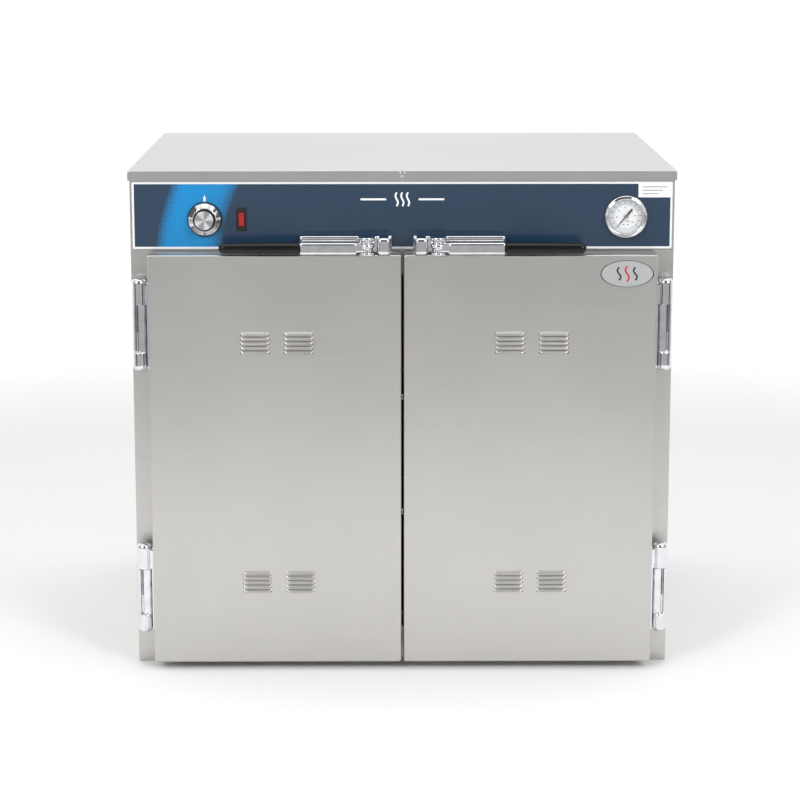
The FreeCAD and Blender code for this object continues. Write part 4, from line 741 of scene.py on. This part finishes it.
def thermometer(materials):
    """Rolled bezel, scale and figures of the dial thermometer."""
    low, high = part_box("thermometer_dial")
    middle = (low + high) / 2
    case_low, case_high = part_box("thermometer_case")
    radius, case_r = (high.x - low.x) / 2, (case_high.x - case_low.x) / 2
    face, stand = low.y, low.y - case_low.y
    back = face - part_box("control_overlay")[0].y + 0.1 * MM
    base = Vector((middle.x, face, middle.z))

    bm = bmesh.new()
    roll = 2.6 * MM
    bottom = face - case_high.y
    profile = [(0.0, face - high.y), (radius + 0.1 * MM, face - high.y)]
    profile.append((radius + 0.3 * MM, stand - 2.2 * MM))
    profile += arc((radius + 1.5 * MM, stand - 1.0 * MM), 1.0 * MM, 180, 60, 8)
    profile += arc((case_r - roll, stand - roll - 0.6 * MM), roll, 90, 0, 10)
    profile += [(case_r, back), (DIAL_CUP_R, back), (DIAL_CUP_R, bottom), (0.0, bottom)]
    turn_into(bm, profile, base, 128)
    bezel = add_mesh("thermometer_bezel", bm, "cabinet", materials["chrome"], 50.0)
    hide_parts("thermometer_case")

    def spoke(turn, near, far):
        a = math.radians(turn)
        return [(middle.x + r * math.cos(a), middle.z + r * math.sin(a)) for r in (near, far)]

    def turns(count):
        return [DIAL_START - DIAL_SWEEP * k / count for k in range(count + 1)]

    centre = (middle.x, middle.z)
    bm = bmesh.new()
    ring_into(bm, centre, DIAL_BAND_R, radius - 0.3 * MM, face, PRINT_T / 6)
    add_mesh("dial_band", bm, "cabinet", materials["pale_ink"])
    bm = bmesh.new()
    ring_into(bm, centre, DIAL_BAND_R - 0.3 * MM, DIAL_BAND_R, face, PRINT_T / 3)
    ring_into(bm, centre, radius - 0.9 * MM, radius - 0.6 * MM, face, PRINT_T / 3)
    add_mesh("dial_rings", bm, "cabinet", materials["grey_ink"])

    bm = bmesh.new()
    for k, turn in enumerate(turns(5 * DIAL_FIGURES)):
        long = k % 5 == 0
        ribbon_into(bm, spoke(turn, radius - (2.2 if long else 1.6) * MM, radius - 0.9 * MM),
                    (0.4 if long else 0.2) * MM, face, PRINT_T / 2)
    for k, turn in enumerate(turns(2 * DIAL_FIGURES)):
        ribbon_into(bm, spoke(turn, DIAL_BAND_R - (1.6 if k % 2 else 2.2) * MM, DIAL_BAND_R - 0.3 * MM),
                    0.25 * MM, face, PRINT_T / 2)
    for k, turn in enumerate(turns(DIAL_FIGURES)):
        x, z = spoke(turn, DIAL_BAND_R + 1.8 * MM, radius)[0]
        text_into(bm, str(20 * k + 20), OUTER_FIGURE_H, facing_front(x, face, z))
    for k, turn in enumerate(turns(DIAL_FIGURES // 2)):
        x, z = spoke(turn, DIAL_BAND_R - 4.3 * MM, radius)[0]
        text_into(bm, str(20 * k), INNER_FIGURE_H, facing_front(x, face, z))
    for across, drop, length in DIAL_LINES:
        x, z = middle.x + across, middle.z - drop
        ribbon_into(bm, [(x - length / 2, z), (x + length / 2, z)], 0.8 * MM, face, PRINT_T / 2)
    add_mesh("dial_figures", bm, "cabinet", materials["ink"])

    needle_low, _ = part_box("thermometer_needle")
    bm = bmesh.new()
    hub = Vector((middle.x, needle_low.y, middle.z))
    profile = [(1.9 * MM, 0.0)] + arc((1.3 * MM, 0.0), 0.6 * MM, 0, 90) + [(0.0, 0.7 * MM)]
    turn_into(bm, profile, hub, 32)
    add_mesh("needle_cap", bm, "needle", materials["screws"], 50.0)


def knob(materials):
    """Serrated skirt, bright ring with its figures, and turned cap."""
    low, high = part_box("knob")
    trim_low, trim_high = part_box("knob_trim")
    middle = centre_of("knob")
    base = Vector((middle.x, high.y, middle.z))
    skirt_r, top = (high.x - low.x) / 2, high.y - low.y
    skirt_t, front = high.y - trim_high.y, high.y - trim_low.y
    rim, ring_top = (trim_high.x - trim_low.x) / 2, skirt_t + KNOB_RING_T
    core, cap_r = KNOB_CORE_R, KNOB_CAP_R

    bm = bmesh.new()
    count = KNOB_TEETH * 4
    levels = ((0.0, 0.0, 1.0), (0.0, skirt_t - 0.9 * MM, 1.0), (0.8 * MM, skirt_t, 0.3),
              (skirt_r - rim + 1.0 * MM, skirt_t, 0.0))
    rings = []
    for inset, height, depth in levels:
        ring = []
        for k in range(count):
            a = 2 * math.pi * k / count
            r = skirt_r - inset - depth * KNURL_DEPTH * (0.5 - 0.5 * math.cos(a * KNOB_TEETH))
            ring.append(bm.verts.new(base + Vector((r * math.cos(a), -height, r * math.sin(a)))))
        rings.append(ring)
    bands_into(bm, rings)
    bm.faces.new(rings[0])
    profile = [(core, skirt_t), (core, top - 1.0 * MM)]
    profile += arc((core - 0.8 * MM, top - 0.8 * MM), 0.8 * MM, 0, 90)
    profile += [(cap_r + 0.2 * MM, top), (cap_r + 0.2 * MM, top - 1.2 * MM), (0.0, top - 1.2 * MM)]
    turn_into(bm, profile, base, 96)
    skirt = add_mesh("knob_skirt", bm, "knob", materials["knob"], 30.0)
    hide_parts("knob")

    bm = bmesh.new()
    inner = core + 0.3 * MM
    profile = [(inner, skirt_t), (rim, skirt_t), (rim, skirt_t + 0.8 * MM)]
    profile += arc((rim - 0.6 * MM, skirt_t + 0.8 * MM), 0.6 * MM, 0, 60)
    profile += arc((inner + 0.9 * MM, ring_top - 0.9 * MM), 0.9 * MM, 50, 180)
    turn_into(bm, profile, base, 96, closed=True)
    add_mesh("knob_ring", bm, "knob", materials["chrome"], 40.0)

    bm = bmesh.new()
    profile = [(0.0, front - 1.2 * MM), (cap_r, front - 1.2 * MM), (cap_r, front - 0.4 * MM)]
    profile += arc((cap_r - 0.4 * MM, front - 0.4 * MM), 0.4 * MM, 0, 90)
    profile += [(cap_r * 0.75, front - 0.05 * MM), (cap_r * 0.4, front - 0.15 * MM)]
    profile.append((0.0, front - 0.18 * MM))
    turn_into(bm, profile, base, 96)
    cap = add_mesh("knob_cap", bm, "knob", materials["spun"], 25.0)
    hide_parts("knob_trim")

    bm = bmesh.new()
    outside, inside = (rim - 0.3 * MM, skirt_t + 1.3 * MM), (inner + 1.5 * MM, ring_top - 0.2 * MM)
    slope = math.atan2(inside[1] - outside[1], outside[0] - inside[0])
    place = Matrix.Translation((0, -(outside[1] + inside[1]) / 2, (outside[0] + inside[0]) / 2))
    lean = Matrix.Rotation(math.radians(90) - slope, 4, "X")
    for k in range(KNOB_MARKS):
        spin = Matrix.Rotation(math.radians(-KNOB_SWEEP * k / (KNOB_MARKS - 1)), 4, FORWARD)
        text_into(bm, str(k), KNOB_FIGURE_H, Matrix.Translation(base) @ spin @ place @ lean)
    add_mesh("knob_figures", bm, "knob", materials["ink"])


def lamp(materials):
    """Bezel with a rounded rim round the red lens, and the body behind it."""
    low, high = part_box("indicator_lamp")
    lens_low, lens_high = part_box("lamp_lens")
    overlay_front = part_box("control_overlay")[0].y
    bm = bmesh.new()
    frame_w = lens_low.x - low.x

    def inset(across, up, radius):
        return round_rect(low.x + across, high.x - across, low.z + up, high.z - up, radius)

    outline, lip = inset(0.0, 0.0, 1.4 * MM), inset(0.5 * MM, 0.5 * MM, 1.0 * MM)
    slope = inset(frame_w / 2, frame_w, 0.8 * MM)
    mouth = round_rect(lens_low.x - 0.1 * MM, lens_high.x + 0.1 * MM, lens_low.z - 0.1 * MM,
                       lens_high.z + 0.1 * MM, 0.5 * MM)
    levels = [(outline, overlay_front), (outline, low.y + 0.6 * MM), (lip, low.y), (slope, low.y),
              (mouth, low.y + 0.8 * MM), (mouth, overlay_front)]
    loops = [[bm.verts.new((x, y, z)) for x, z in points] for points, y in levels]
    bands_into(bm, loops + loops[:1])
    box_into(bm, (low.x + 1 * MM, high.x - 1 * MM), (lens_high.y, high.y),
             (low.z + 2 * MM, high.z - 2 * MM), 0.4 * MM)
    bezel = add_mesh("lamp_bezel", bm, "cabinet", materials["plastic"], 30.0)
    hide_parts("indicator_lamp")


def panel_prints(materials):
    """White marks on the overlay: the knob's pointer, a plain heat sign and a blank label."""
    low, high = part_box("control_overlay")
    knob_low, knob_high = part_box("knob")
    knob_mid, knob_r = centre_of("knob"), (knob_high.x - knob_low.x) / 2
    face = low.y
    bm = bmesh.new()
    x, foot = knob_mid.x, knob_mid.z + knob_r + 0.4 * MM
    half, tip = POINTER_W / 2, POINTER_TIP_W / 2
    shoulder, neck, end = foot + 5.2 * MM, foot + 5.8 * MM, foot + 8.0 * MM
    plate_into(bm, [(x - half, foot), (x + half, foot), (x + half, shoulder), (x + tip, neck),
                    (x + tip, end), (x - tip, end), (x - tip, neck), (x - half, shoulder)],
               face, PRINT_T)
    add_mesh("pointer_mark", bm, "cabinet", materials["white_ink"])

    bm = bmesh.new()
    sign_z = (low.z + high.z) / 2 + SIGN_UP
    for k in (-1, 0, 1):
        ribbon_into(bm, heat_wave(k * 7.0 * MM, sign_z, 17.0 * MM, 1.5 * MM), 2.2 * MM, face, PRINT_T)
    for side in (-1, 1):
        bar = [side * reach for reach in SIGN_BAR]
        plate_into(bm, round_rect(min(bar), max(bar), sign_z - 1.2 * MM, sign_z + 1.2 * MM, 1.0 * MM),
                   face, PRINT_T)
    add_mesh("heat_sign", bm, "cabinet", materials["white_ink"])

    bm = bmesh.new()
    right, top = high.x - 1.9 * MM, high.z - 1.8 * MM
    label = round_rect(right - LABEL_W, right, top - LABEL_H, top, 0.8 * MM)
    plate_into(bm, label, face, PRINT_T * 1.5)
    add_mesh("blank_label", bm, "cabinet", materials["white_ink"])
    bm = bmesh.new()
    for k in range(3):
        z = top - 4.5 * MM - k * LABEL_PITCH
        line = round_rect(right - 36.0 * MM, right - 5.0 * MM - k * 5.0 * MM,
                          z - 0.6 * MM, z + 0.6 * MM, 0.5 * MM)
        plate_into(bm, line, face - PRINT_T * 1.5, PRINT_T / 2)
    add_mesh("label_lines", bm, "cabinet", materials["grey_ink"])


def door_badge(materials):
    """Oval plate with a dark rim and three wavy lines."""
    low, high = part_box("badge")
    middle = (low + high) / 2
    half_w, half_h = (high.x - low.x) / 2, (high.z - low.z) / 2
    face = low.y
    bm = bmesh.new()
    ring_into(bm, (middle.x, middle.z), half_w - 1.9 * MM, half_w - 0.5 * MM, face, PRINT_T,
              128, half_h / half_w)
    for k in (-1, 1):
        wave = heat_wave(middle.x + k * 10.0 * MM, middle.z, 16.0 * MM, 2.2 * MM)
        ribbon_into(bm, wave, 2.0 * MM, face, PRINT_T)
    add_mesh("badge_marks", bm, "right_door", materials["ink"])
    bm = bmesh.new()
    ribbon_into(bm, heat_wave(middle.x, middle.z, 19.0 * MM, 2.2 * MM), 2.2 * MM, face, PRINT_T)
    add_mesh("badge_wave", bm, "right_door", materials["red_ink"])


# ---------------------------------------------------------------- studio

class Sky(Nodes):
    """Builds the studio's surroundings out of soft steps in the direction looked in."""

    def __init__(self):
        world = bpy.data.worlds.new("studio")
        bpy.context.scene.world = world
        super().__init__(world)
        direction = self.node("ShaderNodeTexCoord").outputs["Generated"]
        self.x, self.y, self.z = self.node("ShaderNodeSeparateXYZ", {0: direction}).outputs

    def both(self, first, *others):
        for other in others:
            first = self.math("MULTIPLY", first, other)
        return first

    def band(self, value, low, high, soft=0.06):
        """1 from low to high, with soft edges."""
        return self.both(self.between(value, low, low + soft), self.between(value, high, high - soft))

    def shine(self, level):
        background = self.tree.nodes["Background"]
        background.inputs["Color"].default_value = (1.0, 1.0, 1.0, 1.0)
        self.tree.links.new(level, background.inputs["Strength"])


def surroundings():
    """White to the camera and behind; reflections from the front see a dark room with soft boxes."""
    sky = Sky()      # its x, y and z are the parts of a direction whose length is 1
    aside = sky.math("ABSOLUTE", sky.x)
    front = sky.between(sky.y, 0.20, -0.10)
    room = sky.both(front, sky.band(sky.z, 0.0, 0.99, 0.08))
    boxes = sky.math("SUBTRACT", 1.0, sky.band(aside, 0.42, 0.70))
    gaps = sky.both(front, sky.band(aside, 0.72, 0.90, 0.05), sky.between(sky.z, 0.30, 0.10))
    below = sky.both(front, sky.between(sky.z, 0.0, -0.08))
    level = BACKDROP_LIGHT
    for shade, depth in ((sky.both(room, boxes), ROOM_DARK), (below, FLOOR_FALL), (gaps, GAP_DARK)):
        level = sky.math("SUBTRACT", level, sky.math("MULTIPLY", shade, depth))
    seen = sky.node("ShaderNodeLightPath").outputs["Is Camera Ray"]
    backdrop = sky.math("MULTIPLY", seen, BACKDROP_LIGHT)
    sky.shine(sky.math("MAXIMUM", sky.math("MAXIMUM", level, DARKEST), backdrop))


def pale_floor():
    """A round pale floor that melts into the white surroundings."""
    bm = bmesh.new()
    bmesh.ops.create_circle(bm, cap_ends=True, segments=128, radius=FLOOR_FAR)
    mesh = bpy.data.meshes.new("floor")
    bm.to_mesh(mesh)
    bm.free()
    floor = bpy.data.objects.new("floor", mesh)
    floor.location.z = -0.2 * MM
    bpy.context.scene.collection.objects.link(floor)
    g = Graph("pale_floor", Roughness=0.85)
    speck = g.noise(g.coords, 3.0, 2.0)
    g.set("Base Color", g.mix(speck, (0.90, 0.90, 0.90, 1.0), (0.93, 0.93, 0.93, 1.0)))
    away = g.node("ShaderNodeVectorMath", {0: g.coords}, operation="LENGTH").outputs["Value"]
    g.set("Alpha", g.between(away, FLOOR_FAR, FLOOR_NEAR))
    mesh.materials.append(g.material)


def area_light(name, place, aim, size, power):
    data = bpy.data.lights.new(name, "AREA")
    data.shape, data.size, data.size_y = "RECTANGLE", *size
    data.energy = power
    light = bpy.data.objects.new(name, data)
    light.location = place
    light.rotation_euler = (Vector(aim) - Vector(place)).to_track_quat("-Z", "Y").to_euler()
    bpy.context.scene.collection.objects.link(light)


def studio():
    """Pale floor, white surroundings and large soft lights."""
    pale_floor()
    surroundings()
    area_light("overhead", (0.0, -0.5, 2.6), (0.0, -0.2, 0.0), (2.6, 2.0), 14.0)
    for way in (-1, 1):
        area_light(f"front_box_{way + 1}", (2.0 * way, -3.2, 2.4), (0.0, -0.3, 0.3), (1.0, 1.2), 46.0)
    area_light("left_box", (-2.4, -1.6, 1.5), (0.0, -0.2, 0.3), (1.0, 1.6), 6.0)
    area_light("right_box", (2.4, -1.6, 1.5), (0.0, -0.2, 0.3), (1.0, 1.6), 5.0)


def camera():
    """The photograph's viewing angle: nearly square on, looking a little down."""
    data = bpy.data.cameras.new("camera")
    data.sensor_width = 36.0
    data.lens = LENS
    data.clip_end = 200.0
    eye = bpy.data.objects.new("camera", data)
    level = Matrix.Rotation(math.radians(90), 4, "X")
    turn = (Matrix.Rotation(math.radians(EYE_PAN), 4, "Z")
            @ Matrix.Rotation(math.radians(EYE_TILT), 4, "X")
            @ Matrix.Rotation(math.radians(EYE_ROLL), 4, "Y"))
    eye.matrix_world = Matrix.Translation(EYE) @ turn @ level
    bpy.context.scene.collection.objects.link(eye)
    bpy.context.scene.camera = eye
    bpy.context.scene.view_settings.view_transform = "Standard"


def build():
    materials = make_materials()
    paint_cad(materials)
    for side in SIDES:
        door_skin(side, materials)
        latch(side, materials)
    hinge_housings(materials)
    thermometer(materials)
    knob(materials)
    lamp(materials)
    panel_prints(materials)
    door_badge(materials)
    studio()
    camera()


build()
